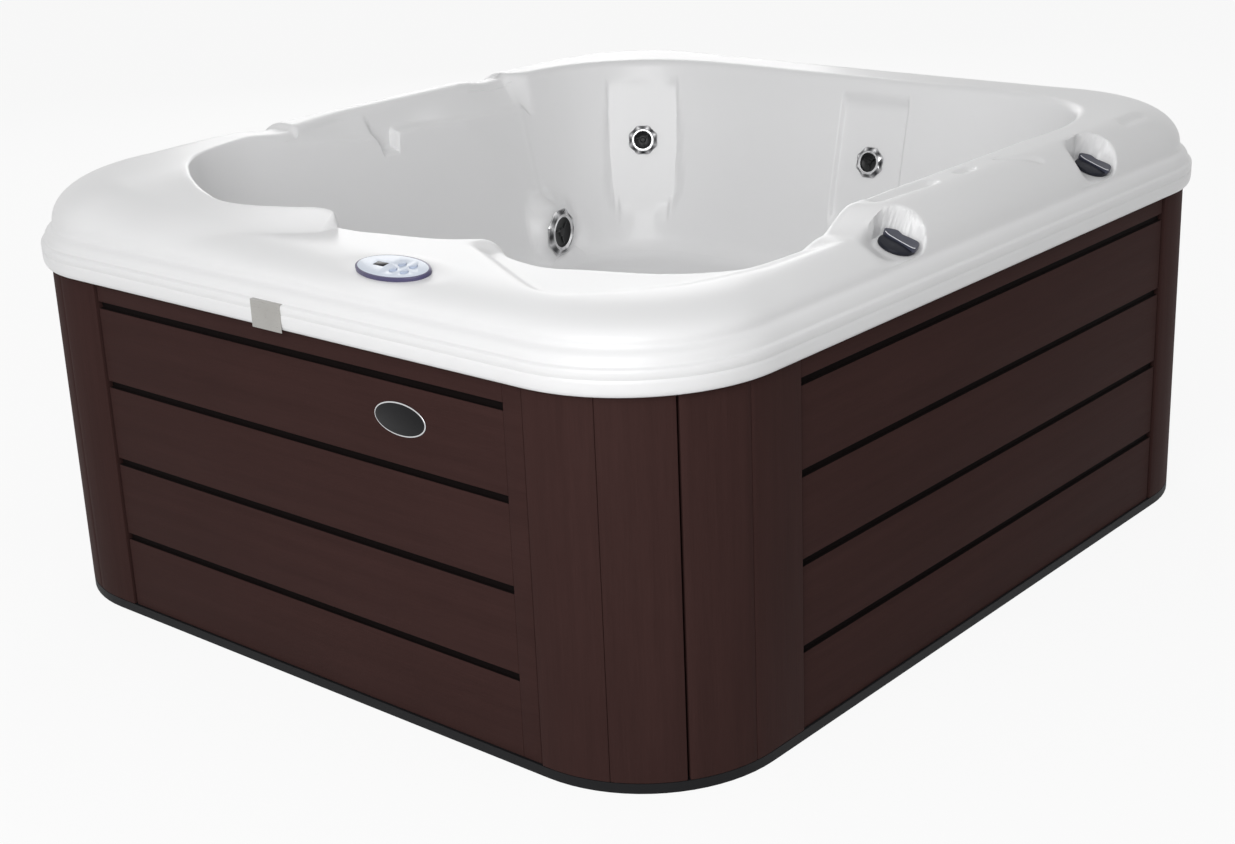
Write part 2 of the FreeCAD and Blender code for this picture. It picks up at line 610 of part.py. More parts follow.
def valve(name, frame):
    """Diverter valve: a body clamped under the pocket floor and a wing handle on a stem."""
    skirt = cone(f"{name}_skirt", "handle_radius", "handle_radius - handle_skirt / 2", "handle_skirt")
    wing = box(f"{name}_wing", "2 * handle_radius - handle_skirt", "handle_skirt", "handle_wing")
    stem = cylinder(f"{name}_stem", "valve_stem_radius", "valve_stem_length + handle_skirt")
    seat = frame * at(z=size("jet_wall_gap"))
    skirt.Placement = seat
    wing.Placement = seat * at(
        -size("handle_radius - handle_skirt / 2"), -size("handle_skirt / 2"), size("handle_skirt / 2"))
    stem.Placement = seat * at(z=-size("valve_stem_length"))
    node(f"{name}_handle", fuse(f"{name}_knob", skirt, wing, stem))

    barrel = cylinder(f"{name}_barrel", "valve_body_radius", "valve_body_length")
    barrel.Placement = frame * at(z=-size("shell_wall + valve_body_length"))
    spigot = cylinder(f"{name}_spigot", "jet_tail_radius", "jet_tail")
    spigot.Placement = frame * at(z=-size("shell_wall + valve_body_length + jet_tail"))
    bore = cylinder(f"{name}_bore", "valve_stem_radius + pin_gap", "valve_stem_length + shell_wall")
    bore.Placement = frame * at(z=-size("valve_stem_length + jet_wall_gap"))
    node(f"{name}_body", cut(f"{name}_casing", fuse(f"{name}_case", barrel, spigot), bore))


def button_spots():
    """Centres of the control's buttons on its face."""
    return [(size(f"button_x + {column} * button_pitch"), size(f"(0.5 - {line}) * button_row"))
            for line in range(2) for column in range(2)]


def topside_control():
    """Oval control on the deck: housing with a body through the shell, pale face, display and buttons."""
    frame = control_place()

    def on_seat(solid, x=0.0, y=0.0, z="0"):
        solid.Placement = frame * at(x, y, size(z))
        return solid

    face_low = "(control_bezel - control_face)"
    floor = f"({face_low} - button_travel - button_stem)"
    inner_width = "(control_width - 2 * control_face_inset)"
    inner_depth = "(control_depth - 2 * control_face_inset)"
    bezel = on_seat(oval("control_ring", "control_width", "control_depth", "control_bezel"))
    body = box("control_box", "control_body_width", "control_body_depth",
               "control_body_height + control_face")
    on_seat(body, -size("control_body_width / 2"), -size("control_body_depth / 2"), "-control_body_height")
    tray = on_seat(oval("control_tray", inner_width, inner_depth, "2 * control_face"), z=face_low)
    wells = []
    ports = []
    for number, (x, y) in enumerate(button_spots()):
        well = cylinder(f"control_well_{number}", "button_radius + running_gap", "2 * control_bezel")
        wells.append(on_seat(well, x, y, floor))
        port = cylinder(f"control_port_{number}", "button_radius + running_gap", "2 * control_bezel")
        ports.append(on_seat(port, x, y))
        button = cylinder(f"control_push_{number}", "button_radius",
                          "button_stem + control_face + button_proud")
        node(f"control_button_{number + 1}", on_seat(button, x, y, f"{face_low} - button_stem"))
    node("control_housing", cut("control_case", fuse("control_solid", bezel, body), tray, *wells))

    plate = oval("control_plate", f"{inner_width} - running_gap", f"{inner_depth} - running_gap",
                 "control_face")
    window = box("control_window", "display_width", "display_depth", "2 * control_face")
    on_seat(plate, z=face_low)
    on_seat(window, size("display_x - display_width / 2"), -size("display_depth / 2"), face_low)
    node("control_face", cut("control_overlay", plate, window, *ports))
    glass = box("control_glass", "display_width - running_gap", "display_depth - running_gap", "control_face")
    on_seat(glass, size("display_x - display_width / 2 + running_gap / 2"),
            -size("display_depth / 2 - running_gap / 2"), face_low)
    node("control_display", glass)


def trim():
    """Bare oval badge with a bright ring on the front panel, and a folded plate on the band of the rim."""
    stand = at(size("badge_x"), -size(PANEL_Y), size("badge_z"), Vector(1, 0, 0), 90)
    plate = oval("badge_oval", "badge_width - 2 * badge_ring", "badge_height - 2 * badge_ring", "badge_plate")
    ring = oval("badge_edge", "badge_width", "badge_height", "badge_plate")
    hole = oval("badge_hole", "badge_width - 2 * badge_ring + pin_gap",
                "badge_height - 2 * badge_ring + pin_gap", "2 * badge_plate")
    for piece in (plate, ring, hole):
        piece.Placement = stand
    node("badge_plate", plate)
    node("badge_ring", cut("badge_bezel", ring, hole))

    left = size("plate_x - plate_width / 2")
    front = -size(f"{RIM_Y} + plate_sheet")
    sheet_face = box("rim_plate_face", "plate_width", "plate_sheet", "plate_height")
    place(sheet_face, left, front, size("band_top + plate_sheet - plate_height"))
    flange = box("rim_plate_flange", "plate_width", "plate_flange + plate_sheet", "plate_sheet")
    place(flange, left, front, size("band_top"))
    node("rim_plate", fuse("rim_plate_fold", sheet_face, flange))


def pipe_route(points, bend):
    """Wire of straight runs joined by tangent arcs of the bend radius."""
    edges = []
    start = points[0]
    for before, corner, after in zip(points, points[1:], points[2:]):
        inward = (corner - before).normalize()
        outward = (after - corner).normalize()
        turn = inward.getAngle(outward)
        tangent = bend * math.tan(turn / 2)
        arc_start = corner - inward * tangent
        arc_end = corner + outward * tangent
        inside = (outward - inward).normalize()
        arc_middle = corner + inside * (bend / math.cos(turn / 2) - bend)
        edges.append(Part.LineSegment(start, arc_start).toShape())
        edges.append(Part.Arc(arc_start, arc_middle, arc_end).toShape())
        start = arc_end
    edges.append(Part.LineSegment(start, points[-1]).toShape())
    return Part.Wire(edges)


def swept(points, radius, bend):
    """Round bar along a route, compared with its section times its length."""
    route = pipe_route(points, bend)
    circle = Part.Wire(Part.makeCircle(radius, points[0], points[1] - points[0]))
    bar = route.makePipeShell([circle], True, False)
    expected = math.pi * radius ** 2 * route.Length
    if abs(bar.Volume - expected) > VOLUME_TOLERANCE * expected:
        raise RuntimeError("a swept pipe has the wrong volume")
    return bar


def tube(name, kind, routes):
    """Pipe or hose with a bore, along one route or several that meet."""
    outer = size(f"{kind}_radius")
    bend = size(f"{kind}_bend")
    inner = outer - size("pipe_wall")
    solid = swept(routes[0], outer, bend)
    for route in routes[1:]:
        solid = solid.fuse(swept(route, outer, bend))
    for route in routes:
        solid = solid.cut(swept(route, inner, bend))
    pipe = doc.addObject("Part::Feature", name)
    pipe.Shape = solid.removeSplitter()
    node(name, pipe)


def suction_places():
    """Frames on the front wall of the footwell for the two suction covers."""
    slope = f"footwell_draft / ({WELL_TOP} - footwell_floor)"
    lean = math.degrees(math.atan(size(slope)))
    y = size(f"-footwell_length / 2 + ({WELL_TOP} - suction_height) * {slope}")
    return {hand: jet_place(side * size("suction_pitch / 2"), y, size("suction_height"), 90, lean)
            for hand, side in (("left", -1), ("right", 1))}


def suction_cover(name, frame):
    """Domed grille in the footwell with a stub through the wall."""
    def along(solid, low):
        solid.Placement = frame * at(z=size(low))
        return solid

    length = "suction_stub + suction_proud / 2"
    dome_cap = cone(f"{name}_cap", "suction_radius", "suction_radius - suction_proud", "suction_proud")
    along(dome_cap, "jet_wall_gap")
    stub = along(cylinder(f"{name}_stub", "pipe_radius", length), "-suction_stub")
    bore = along(cylinder(f"{name}_bore", "pipe_radius - pipe_wall", length), "-suction_stub")
    holes = []
    for number in range(GRILLE_HOLES):
        hole = cylinder(f"{name}_hole_{number}", "suction_hole", "2 * suction_proud")
        turn = at(angle=360 * number / GRILLE_HOLES)
        hole.Placement = frame * turn * at(size("pipe_radius - pipe_wall - 2 * suction_hole"))
        holes.append(hole)
    node(name, cut(f"{name}_grille", fuse(f"{name}_solid", dome_cap, stub), bore, *holes))


def pump():
    """Pump on its foot: motor, wet end with a volute chamber, and the shaft with its impeller."""
    axis = at(size("pump_x"), size(PUMP_Y), size(PUMP_AXIS), Vector(0, 1, 0), 90)

    def along(solid, start):
        solid.Placement = axis * at(z=size(start))
        return solid

    casing = along(cylinder("motor_casing", "motor_radius", "motor_length"), "-motor_length")
    cowl = along(cylinder("motor_cowl", "motor_radius + pipe_wall", "motor_length / 4"), "-motor_length")
    foot = box("motor_foot", "foot_length", "motor_radius", "pump_foot + motor_radius / 2")
    place(foot, size("pump_x - foot_setback"), size(f"{PUMP_Y} - motor_radius / 2"), size("base_floor"))
    bearing = along(cylinder("motor_bearing", "pump_shaft_radius + pin_gap", "shaft_depth"), "-shaft_depth")
    node("pump_motor", cut("motor", fuse("motor_solid", casing, cowl, foot), bearing))

    volute = along(cylinder("wet_volute", "wet_radius", "wet_length"), "0")
    outlet = cylinder("wet_outlet", "pipe_radius + pipe_wall", "wet_radius + outlet_length")
    place(outlet, size("pump_x + wet_length / 2"), size(PUMP_Y), size(PUMP_AXIS))
    throat = cylinder("wet_throat", "pipe_radius - pipe_wall", "wet_radius + outlet_length")
    place(throat, size("pump_x + wet_length / 2"), size(PUMP_Y), size(PUMP_AXIS))
    chamber = cylinder("wet_chamber", "impeller_radius + impeller_gap", "impeller_width + 2 * impeller_gap")
    along(chamber, "wet_wall")
    seal = along(cylinder("wet_seal", "pump_shaft_radius + pin_gap", "wet_wall"), "0")
    inlet = along(cylinder("wet_inlet", "pipe_radius - pipe_wall", "wet_length"), "wet_wall")
    node("pump_wet_end", cut("wet_end", fuse("wet_solid", volute, outlet), throat, chamber, seal, inlet))

    shaft = cylinder("impeller_shaft", "pump_shaft_radius", "shaft_depth + wet_wall + impeller_gap")
    along(shaft, "impeller_gap - shaft_depth")
    disc = along(cylinder("impeller_plate", "impeller_radius", "impeller_disc"), "wet_wall + impeller_gap")
    blades = []
    for number in range(BLADES):
        blade = box(f"impeller_blade_{number}", "impeller_radius - pipe_radius", "pipe_wall",
                    "impeller_width - impeller_disc")
        blade.Placement = axis * at(angle=360 * number / BLADES) * at(
            size("pipe_radius"), -size("pipe_wall / 2"), size("wet_wall + impeller_gap + impeller_disc"))
        blades.append(blade)
    node("pump_impeller", fuse("impeller", shaft, disc, *blades))


def equipment():
    """Water circuit behind the cabinet: suctions, pump, heater, manifold, hoses, control pack and drain."""
    pump()
    inlet = Vector(size("pump_x + wet_length"), size(PUMP_Y), size(PUMP_AXIS))
    outlet = Vector(size("pump_x + wet_length / 2"), size(PUMP_Y),
                    size(f"{PUMP_AXIS} + wet_radius + outlet_length"))
    suctions = suction_places()
    for hand, frame in suctions.items():
        suction_cover(f"suction_cover_{hand}", frame)
    stub_end = Vector(0, 0, -size("suction_stub + jet_wall_gap"))
    ends = {hand: frame.multVec(stub_end) for hand, frame in suctions.items()}
    down = suctions["right"].Rotation.multVec(Vector(0, 0, -1))
    main_route = [ends["right"], Vector(ends["right"].x, inlet.y, inlet.z), inlet]
    link_corner = ends["left"] + down * size("pipe_lead")
    fall = (main_route[1] - main_route[0]).normalize()
    link_end = main_route[0] + fall * ((link_corner.y - main_route[0].y) / fall.y)
    tube("suction_pipe", "pipe", [main_route, [ends["left"], link_corner, link_end]])

    heater_end = Vector(size(HEATER_START), outlet.y, size("heater_level"))
    tube("pressure_pipe", "pipe", [[outlet, Vector(outlet.x, outlet.y, heater_end.z), heater_end]])
    along_heater = at(heater_end.x, heater_end.y, heater_end.z, Vector(0, 1, 0), -90)
    barrel = cylinder("heater_barrel", "heater_radius", HEATER_LENGTH)
    barrel.Placement = along_heater
    chamber = cylinder("heater_chamber", "heater_radius - pipe_wall", f"{HEATER_LENGTH} - 2 * pipe_wall")
    chamber.Placement = along_heater * at(z=size("pipe_wall"))
    passage = cylinder("heater_passage", "pipe_radius - pipe_wall", HEATER_LENGTH)
    passage.Placement = along_heater
    node("heater_tube", cut("heater", barrel, chamber, passage))

    frame_face = size(FRAME_X)
    block = box("manifold_block", "manifold_width", "manifold_length", "manifold_height")
    place(block, -frame_face, size("manifold_y"), size("manifold_low"))
    node("manifold", block)
    feed_x = size("manifold_width / 2") - frame_face
    feed = Vector(feed_x, size("manifold_y"), size("manifold_low + manifold_height / 2"))
    supply = Vector(heater_end.x - size(HEATER_LENGTH), heater_end.y, heater_end.z)
    lead = feed - Vector(0, size("pipe_lead"), 0)
    tube("supply_pipe", "pipe", [[supply, Vector(feed_x, supply.y, supply.z), lead, feed]])
    jet_hoses(Vector(feed_x, size("manifold_y + manifold_length"), 0))

    pack = box("pack_case", "pack_width", "pack_depth", "pack_height")
    place(pack, size("pack_x"), size(f"pack_gap - {FRAME_Y}"), size("base_floor"))
    node("control_pack", pack)
    slab = box("slab", "footwell_width - 2 * slab_inset", "footwell_length - 2 * slab_inset",
               "footwell_floor - shell_wall - base_floor")
    place(slab, -size("footwell_width / 2 - slab_inset"), -size("footwell_length / 2 - slab_inset"),
          size("base_floor"))
    node("floor_slab", slab)


def jet_hoses(port):
    """Hose from the manifold to the tail of each jet."""
    frames = jet_places()
    reach = size("jet_cup + jet_tail + jet_wall_gap")
    tail = Vector(0, 0, -reach)
    lead = Vector(0, 0, -reach - size("hose_straight"))
    tails = {spot: frame.multVec(tail) for spot, frame in frames.items()}
    behind = {spot: frame.multVec(lead) for spot, frame in frames.items()}
    starts = {spot: Vector(port.x, port.y, size(f"manifold_low + {count} * manifold_height / {HOSES + 1}"))
              for count, spot in enumerate(("back", "left", "corner"), start=1)}
    turn_x = -size(f"{FRAME_X} - hose_turn_gap")
    corner_turn = Vector(turn_x, behind["corner"].y - size("hose_straight"), behind["corner"].z)
    back_turn = Vector(turn_x, behind["corner"].y - size("hose_straight / 2"), starts["back"].z)
    back_rise = Vector(behind["corner"].x + size("hose_straight"), behind["back"].y, size("hose_level"))
    routes = {"left": [], "corner": [corner_turn], "back": [back_turn, back_rise]}
    for spot, turns in routes.items():
        straight = starts[spot] + Vector(0, size("hose_straight"), 0)
        tube(f"hose_{spot}", "hose", [[starts[spot], straight, *turns, behind[spot], tails[spot]]])


def wall_fittings():
    """Drain pipe with its cap and the cable gland, through the back panel."""
    out = size(PANEL_Y)
    turn = (Vector(1, 0, 0), -90)
    well = size(f"footwell_length / 2 - footwell_draft * ({WELL_TOP} - drain_height - drain_radius)"
                f" / ({WELL_TOP} - footwell_floor)") + size("shell_wall + 4 * running_gap")
    drain = at(size(DRAIN_X), well, size("drain_height"), *turn)
    pipe = cylinder("drain_tube", "drain_radius", f"{PANEL_Y} + drain_proud - {well}")
    pipe.Placement = drain
    bore = cylinder("drain_bore", "drain_radius - pipe_wall", f"2 * {PANEL_Y}")
    bore.Placement = drain
    node("drain_pipe", cut("drain", pipe, bore))

    mouth = at(size(DRAIN_X), out, size("drain_height"), *turn)
    cap = cylinder("drain_lid", "drain_radius + drain_cap_wall", "drain_proud + drain_cap_wall")
    cap.Placement = mouth * at(z=size("jet_wall_gap"))
    socket = cylinder("drain_socket", "drain_radius + pin_gap", "drain_proud")
    socket.Placement = mouth * at(z=size("jet_wall_gap"))
    node("drain_cap", cut("drain_cover", cap, socket))

    entry = at(size(GLAND_X), out, size("drain_height"), *turn)
    stem = cylinder("gland_stem", "gland_radius", "panel_thickness + 2 * gland_nut")
    stem.Placement = entry * at(z=-size("panel_thickness + gland_nut"))
    nut = cylinder("gland_collar", "gland_radius + drain_cap_wall", "gland_nut")
    nut.Placement = entry
    node("cable_gland", fuse("gland", stem, nut))


def wall_holes():
    """Holes in the back panel for the drain pipe and the gland."""
    holes = []
    for name, x, radius in (("drain", DRAIN_X, "drain_radius"), ("gland", GLAND_X, "gland_radius")):
        hole = cylinder(f"hole_{name}", f"{radius} + running_gap", "3 * panel_thickness")
        hole.Placement = at(
            size(x), size(f"{PANEL_Y} - 2 * panel_thickness"), size("drain_height"), Vector(1, 0, 0), -90)
        holes.append(hole)
    return holes


def fittings():
    """Jets, valves, control and trim."""
    for spot, frame in jet_places().items():
        large = "big_" if spot == "left" else ""
        jet(f"jet_{spot}", frame, f"jet_{large}bezel_radius", f"jet_{large}throat_radius")
    for end, frame in valve_places().items():
        valve(f"valve_{end}", frame)
    topside_control()
    trim()


def write_parts():
    """Check every object and write each sub-part to its own file."""
    doc.recompute()
    for item in doc.Objects:
        if "Invalid" in item.State or "Error" in item.State:
            raise RuntimeError(f"{item.Name} did not build: {item.State}")
    os.makedirs("parts", exist_ok=True)
    for name, solid in nodes.items():
        shape = solid.Shape
        if shape.isNull() or not shape.isValid() or not shape.Solids:
            raise RuntimeError(f"{name} is not a valid solid")
        shape.exportStep(f"parts/{name}.step")
        print(f"{name}: {len(shape.Solids)} solid(s), {shape.Volume / 1e3:.1f} cm3")


cabinet()
shell()
fittings()
equipment()
wall_fittings()
write_parts()
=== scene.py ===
"""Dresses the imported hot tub: moulded shell, boarded cabinet, jets, valves, control, trim and water parts."""
import json
import logging
import math
from dataclasses import dataclass, field
from enum import Enum
from typing import Iterable, Sequence

import bmesh
import bpy
from mathutils import Matrix, Vector


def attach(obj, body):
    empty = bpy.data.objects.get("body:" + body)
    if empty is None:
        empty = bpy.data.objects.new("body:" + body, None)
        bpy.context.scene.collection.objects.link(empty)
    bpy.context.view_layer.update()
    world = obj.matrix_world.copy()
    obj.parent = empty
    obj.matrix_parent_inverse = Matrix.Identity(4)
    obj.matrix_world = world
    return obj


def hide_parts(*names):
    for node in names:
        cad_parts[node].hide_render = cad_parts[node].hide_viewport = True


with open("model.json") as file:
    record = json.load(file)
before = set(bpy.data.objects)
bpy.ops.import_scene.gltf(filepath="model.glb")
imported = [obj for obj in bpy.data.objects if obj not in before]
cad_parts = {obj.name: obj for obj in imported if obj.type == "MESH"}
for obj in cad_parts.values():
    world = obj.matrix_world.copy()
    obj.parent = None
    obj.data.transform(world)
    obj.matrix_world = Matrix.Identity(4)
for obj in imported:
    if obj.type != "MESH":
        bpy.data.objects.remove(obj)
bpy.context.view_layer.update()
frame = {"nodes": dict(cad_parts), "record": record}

LOG = logging.getLogger("hot_tub")
Triple = tuple[float, float, float]
Colour = Triple
Point = tuple[float, float]
Quad = tuple[float, float, float, float]


class Value:
    """A shader socket that carries a number, with the arithmetic that the finishes use."""

    def __init__(self, owner: "NodeTree", socket: bpy.types.NodeSocket) -> None:
        """Keep the socket and the tree that owns it."""
        self.owner = owner
        self.socket = socket

    def maths(self, operation: str, first: object, second: object) -> "Value":
        """Result of a Math node on two operands, each a Value or a number."""
        return self.owner.node("ShaderNodeMath", {"operation": operation}, {0: first, 1: second})

    def __add__(self, other: object) -> "Value":
        """Sum."""
        return self.maths("ADD", self, other)

    def __radd__(self, other: object) -> "Value":
        """Sum with a number on the left."""
        return self.maths("ADD", other, self)

    def __sub__(self, other: object) -> "Value":
        """Difference."""
        return self.maths("SUBTRACT", self, other)

    def __rsub__(self, other: object) -> "Value":
        """Difference from a number on the left."""
        return self.maths("SUBTRACT", other, self)

    def __mul__(self, other: object) -> "Value":
        """Product."""
        return self.maths("MULTIPLY", self, other)

    def __rmul__(self, other: object) -> "Value":
        """Product with a number on the left."""
        return self.maths("MULTIPLY", other, self)


class NodeTree:
    """Nodes of a material or of the world."""

    def __init__(self, tree: bpy.types.NodeTree) -> None:
        """Start with no nodes."""
        self.tree = tree
        self.tree.nodes.clear()

    def node(self, kind: str, settings: dict | None = None, sockets: dict | None = None,
             output: int | str = 0) -> Value | None:
        """Add any node.

        Args:
            kind: the node's type.
            settings: attributes of the node, which are set first.
            sockets: input names or numbers with a Value to link or a constant to set.
            output: the output that is handed on.

        Returns:
            The chosen output, or nothing for a node that ends the tree.
        """
        made = self.tree.nodes.new(kind)
        for name, value in (settings or {}).items():
            setattr(made, name, value)
        for name, value in (sockets or {}).items():
            self.feed(made.inputs[name], value)
        return Value(self, made.outputs[output]) if len(made.outputs) else None

    def feed(self, socket: bpy.types.NodeSocket, value: object) -> None:
        """Link a Value to a socket, or set a constant on it.

        Args:
            socket: an input of a node.
            value: a Value or a constant.
        """
        if isinstance(value, Value):
            self.tree.links.new(value.socket, socket)
        else:
            socket.default_value = value

    def in_view(self) -> Value:
        """1 for light that reaches the camera straight, by a reflection or through glass, 0 for the rest.

        Returns:
            The mask.
        """
        straight, mirrored, through = (self.node("ShaderNodeLightPath", output=f"Is {kind} Ray")
                                       for kind in ("Camera", "Glossy", "Transmission"))
        return self.node("ShaderNodeClamp", sockets={"Value": straight + mirrored + through})


class Shader(NodeTree):
    """One procedural material round a Principled shader."""

    def __init__(self, name: str) -> None:
        """Start the material.

        Args:
            name: name of the material.
        """
        self.material = bpy.data.materials.new(name)
        self.material.use_nodes = True
        super().__init__(self.material.node_tree)
        self.node("ShaderNodeOutputMaterial")
        self.principled = self.node("ShaderNodeBsdfPrincipled")
        self.show(self.principled)
        self.place = self.node("ShaderNodeTexCoord", output="Object")

    def show(self, surface: Value) -> None:
        """Send a shader to the material's output."""
        self.feed(self.tree.get_output_node("ALL").inputs["Surface"], surface)

    def set(self, **values: object) -> None:
        """Feed inputs of the Principled shader, their names written with underscores.

        Args:
            values: a Value, a number or a colour for each input.
        """
        for name, value in values.items():
            socket = self.principled.socket.node.inputs[name.replace("_", " ")]
            if isinstance(value, tuple) and len(value) == 3 and socket.type == "RGBA":
                value = (*value, 1.0)
            self.feed(socket, value)

    def stretched(self, scale: Triple) -> Value:
        """Object coordinates scaled along each axis."""
        return self.node("ShaderNodeMapping", {"vector_type": "POINT"}, {
            "Vector": self.place, "Scale": scale})

    def noise(self, scale: float, detail: float = 3.0, vector: Value | None = None) -> Value:
        """Noise over the surface, about one half on average."""
        return self.node("ShaderNodeTexNoise", sockets={
            "Vector": vector or self.place, "Scale": scale, "Detail": detail, "Roughness": 0.55})

    def blend(self, mask: Value, low: Colour, high: Colour) -> Value:
        """Colour that runs from low to high with the mask."""
        return self.node("ShaderNodeMix", {"data_type": "RGBA"}, {
            0: mask, 6: (*low, 1.0), 7: (*high, 1.0)}, output=2)

    def relief(self, height: Value, distance: float, strength: float = 1.0) -> Value:
        """Bump from a height, its distance in metres."""
        return self.node("ShaderNodeBump", sockets={
            "Height": height, "Distance": distance, "Strength": strength})


def shade(colour: Colour, share: float) -> Colour:
    """Colour made lighter or darker by a share."""
    return tuple(min(1.0, part * share) for part in colour)


@dataclass(frozen=True)
class Acrylic:
    """Glossy white sheet acrylic with the faint ripple of a vacuum moulding."""

    name: str = "white_acrylic"
    colour: Colour = (0.84, 0.84, 0.845)

    def material(self) -> bpy.types.Material:
        """Build the finish.

        Returns:
            The material.
        """
        shader = Shader(self.name)
        cloud = shader.noise(3.0, 2.0)
        fine = shader.noise(240.0, 2.0)
        shader.set(Base_Color=shader.blend(cloud, shade(self.colour, 0.985), self.colour),
                   Roughness=0.30 + cloud * 0.12, Coat_Weight=0.12, Coat_Roughness=0.16,
                   IOR=1.49, Normal=shader.relief(fine, 0.00015, 0.25))
        return shader.material


class Grain(Enum):
    """Direction in which a board's grain runs."""

    ALONG_X = (2.2, 46.0, 46.0)
    ALONG_Y = (46.0, 2.2, 46.0)
    UPRIGHT = (46.0, 46.0, 2.2)


@dataclass(frozen=True)
class CompositeBoard:
    """Dark chocolate composite with a pressed grain and a dull sheen."""

    name: str
    grain: Grain
    colour: Colour = (0.0420, 0.0205, 0.0186)

    def material(self) -> bpy.types.Material:
        """Build the finish.

        Returns:
            The material.
        """
        shader = Shader(self.name)
        wide = shader.noise(1.0, 4.0, shader.stretched(self.grain.value))
        narrow = shader.noise(6.0, 5.0, shader.stretched(self.grain.value))
        weather = shader.noise(4.0, 3.0)
        tone = 0.45 * wide + 0.35 * narrow + 0.2 * weather
        shader.set(Base_Color=shader.blend(tone, shade(self.colour, 0.62), shade(self.colour, 1.38)),
                   Roughness=0.56 + narrow * 0.20, Specular_IOR_Level=0.03,
                   Normal=shader.relief(0.5 * wide + narrow, 0.0009, 0.42))
        return shader.material


@dataclass(frozen=True)
class Plastic:
    """Moulded plastic with a fine spark texture."""

    name: str
    colour: Colour
    roughness: float = 0.42
    texture: float = 0.0002
    coat: float = 0.0
    specular: float = 0.5

    def material(self) -> bpy.types.Material:
        """Build the finish.

        Returns:
            The material.
        """
        shader = Shader(self.name)
        speck = shader.noise(900.0, 3.0)
        cloud = shader.noise(14.0, 3.0)
        shader.set(Base_Color=shader.blend(cloud, shade(self.colour, 0.84), shade(self.colour, 1.12)),
                   Roughness=self.roughness - 0.05 + 0.12 * speck, Coat_Weight=self.coat,
                   Coat_Roughness=0.08, Specular_IOR_Level=self.specular,
                   Normal=shader.relief(speck, self.texture, 0.5))
        return shader.material


@dataclass(frozen=True)
class Metal:
    """Bare or plated metal, with a brushing when the strokes are stretched."""

    name: str
    colour: Colour
    roughness: float
    strokes: Triple = (60.0, 60.0, 60.0)
    relief: float = 0.00004

    def material(self) -> bpy.types.Material:
        """Build the finish.

        Returns:
            The material.
        """
        shader = Shader(self.name)
        stroke = shader.noise(9.0, 4.0, shader.stretched(self.strokes))
        stain = shader.noise(20.0, 3.0)
        shader.set(Base_Color=shader.blend(stain, shade(self.colour, 0.92), shade(self.colour, 1.05)),
                   Metallic=1.0, Roughness=self.roughness * 0.7 + stroke * (self.roughness * 0.6),
                   Normal=shader.relief(stroke, self.relief, 0.5))
        return shader.material


@dataclass(frozen=True)
class FacetedChrome:
    """Bright plate whose pressed facets carry a painted dark reflection, marked by the piece's own attribute.
    """

    name: str = "faceted_chrome"
    bright: Colour = (0.66, 0.66, 0.67)
    # The dark colour is a painted dark reflection on the facets, not a colour of the plate.
    dark: Colour = (0.022, 0.023, 0.025)

    def material(self) -> bpy.types.Material:
        """Build the finish.

        Returns:
            The material.
        """
        shader = Shader(self.name)
        facet = shader.node("ShaderNodeAttribute", {"attribute_name": "facet"}, output="Fac")
        smear = shader.noise(55.0, 3.0)
        # The attribute's mask paints the dark reflection onto the facets.
        shader.set(Base_Color=shader.blend(facet * (0.75 + 0.4 * smear), self.bright, self.dark),
                   Metallic=1.0, Roughness=0.07 + 0.08 * smear)
        return shader.material


@dataclass(frozen=True)
class Timber:
    """Sawn softwood with growth rings and saw marks."""

    name: str
    grain: Grain
    light: Colour = (0.56, 0.39, 0.22)
    dark: Colour = (0.36, 0.22, 0.11)

    def material(self) -> bpy.types.Material:
        """Build the finish.

        Returns:
            The material.
        """
        shader = Shader(self.name)
        run = shader.stretched(self.grain.value)
        ring = shader.node("ShaderNodeTexWave", {"wave_type": "RINGS"}, {
            "Vector": run, "Scale": 0.35, "Distortion": 7.0, "Detail": 3.0}, output="Fac")
        saw = shader.noise(5.0, 4.0, run)
        shader.set(Base_Color=shader.blend(0.65 * ring + 0.35 * saw, self.light, self.dark),
                   Roughness=0.62 + 0.2 * saw, Normal=shader.relief(saw, 0.0006, 0.5))
        return shader.material


@dataclass(frozen=True)
class Foam:
    """Closed cell insulation with small open cells at its cut faces."""

    name: str = "insulation_foam"
    colour: Colour = (0.79, 0.71, 0.46)

    def material(self) -> bpy.types.Material:
        """Build the finish.

        Returns:
            The material.
        """
        shader = Shader(self.name)
        cell = shader.node("ShaderNodeTexVoronoi", {"feature": "F1"}, {
            "Vector": shader.place, "Scale": 420.0}, output="Distance")
        shader.set(Base_Color=shader.blend(cell, shade(self.colour, 0.78), self.colour),
                   Roughness=0.9, Normal=shader.relief(cell, 0.0012, 0.7))
        return shader.material


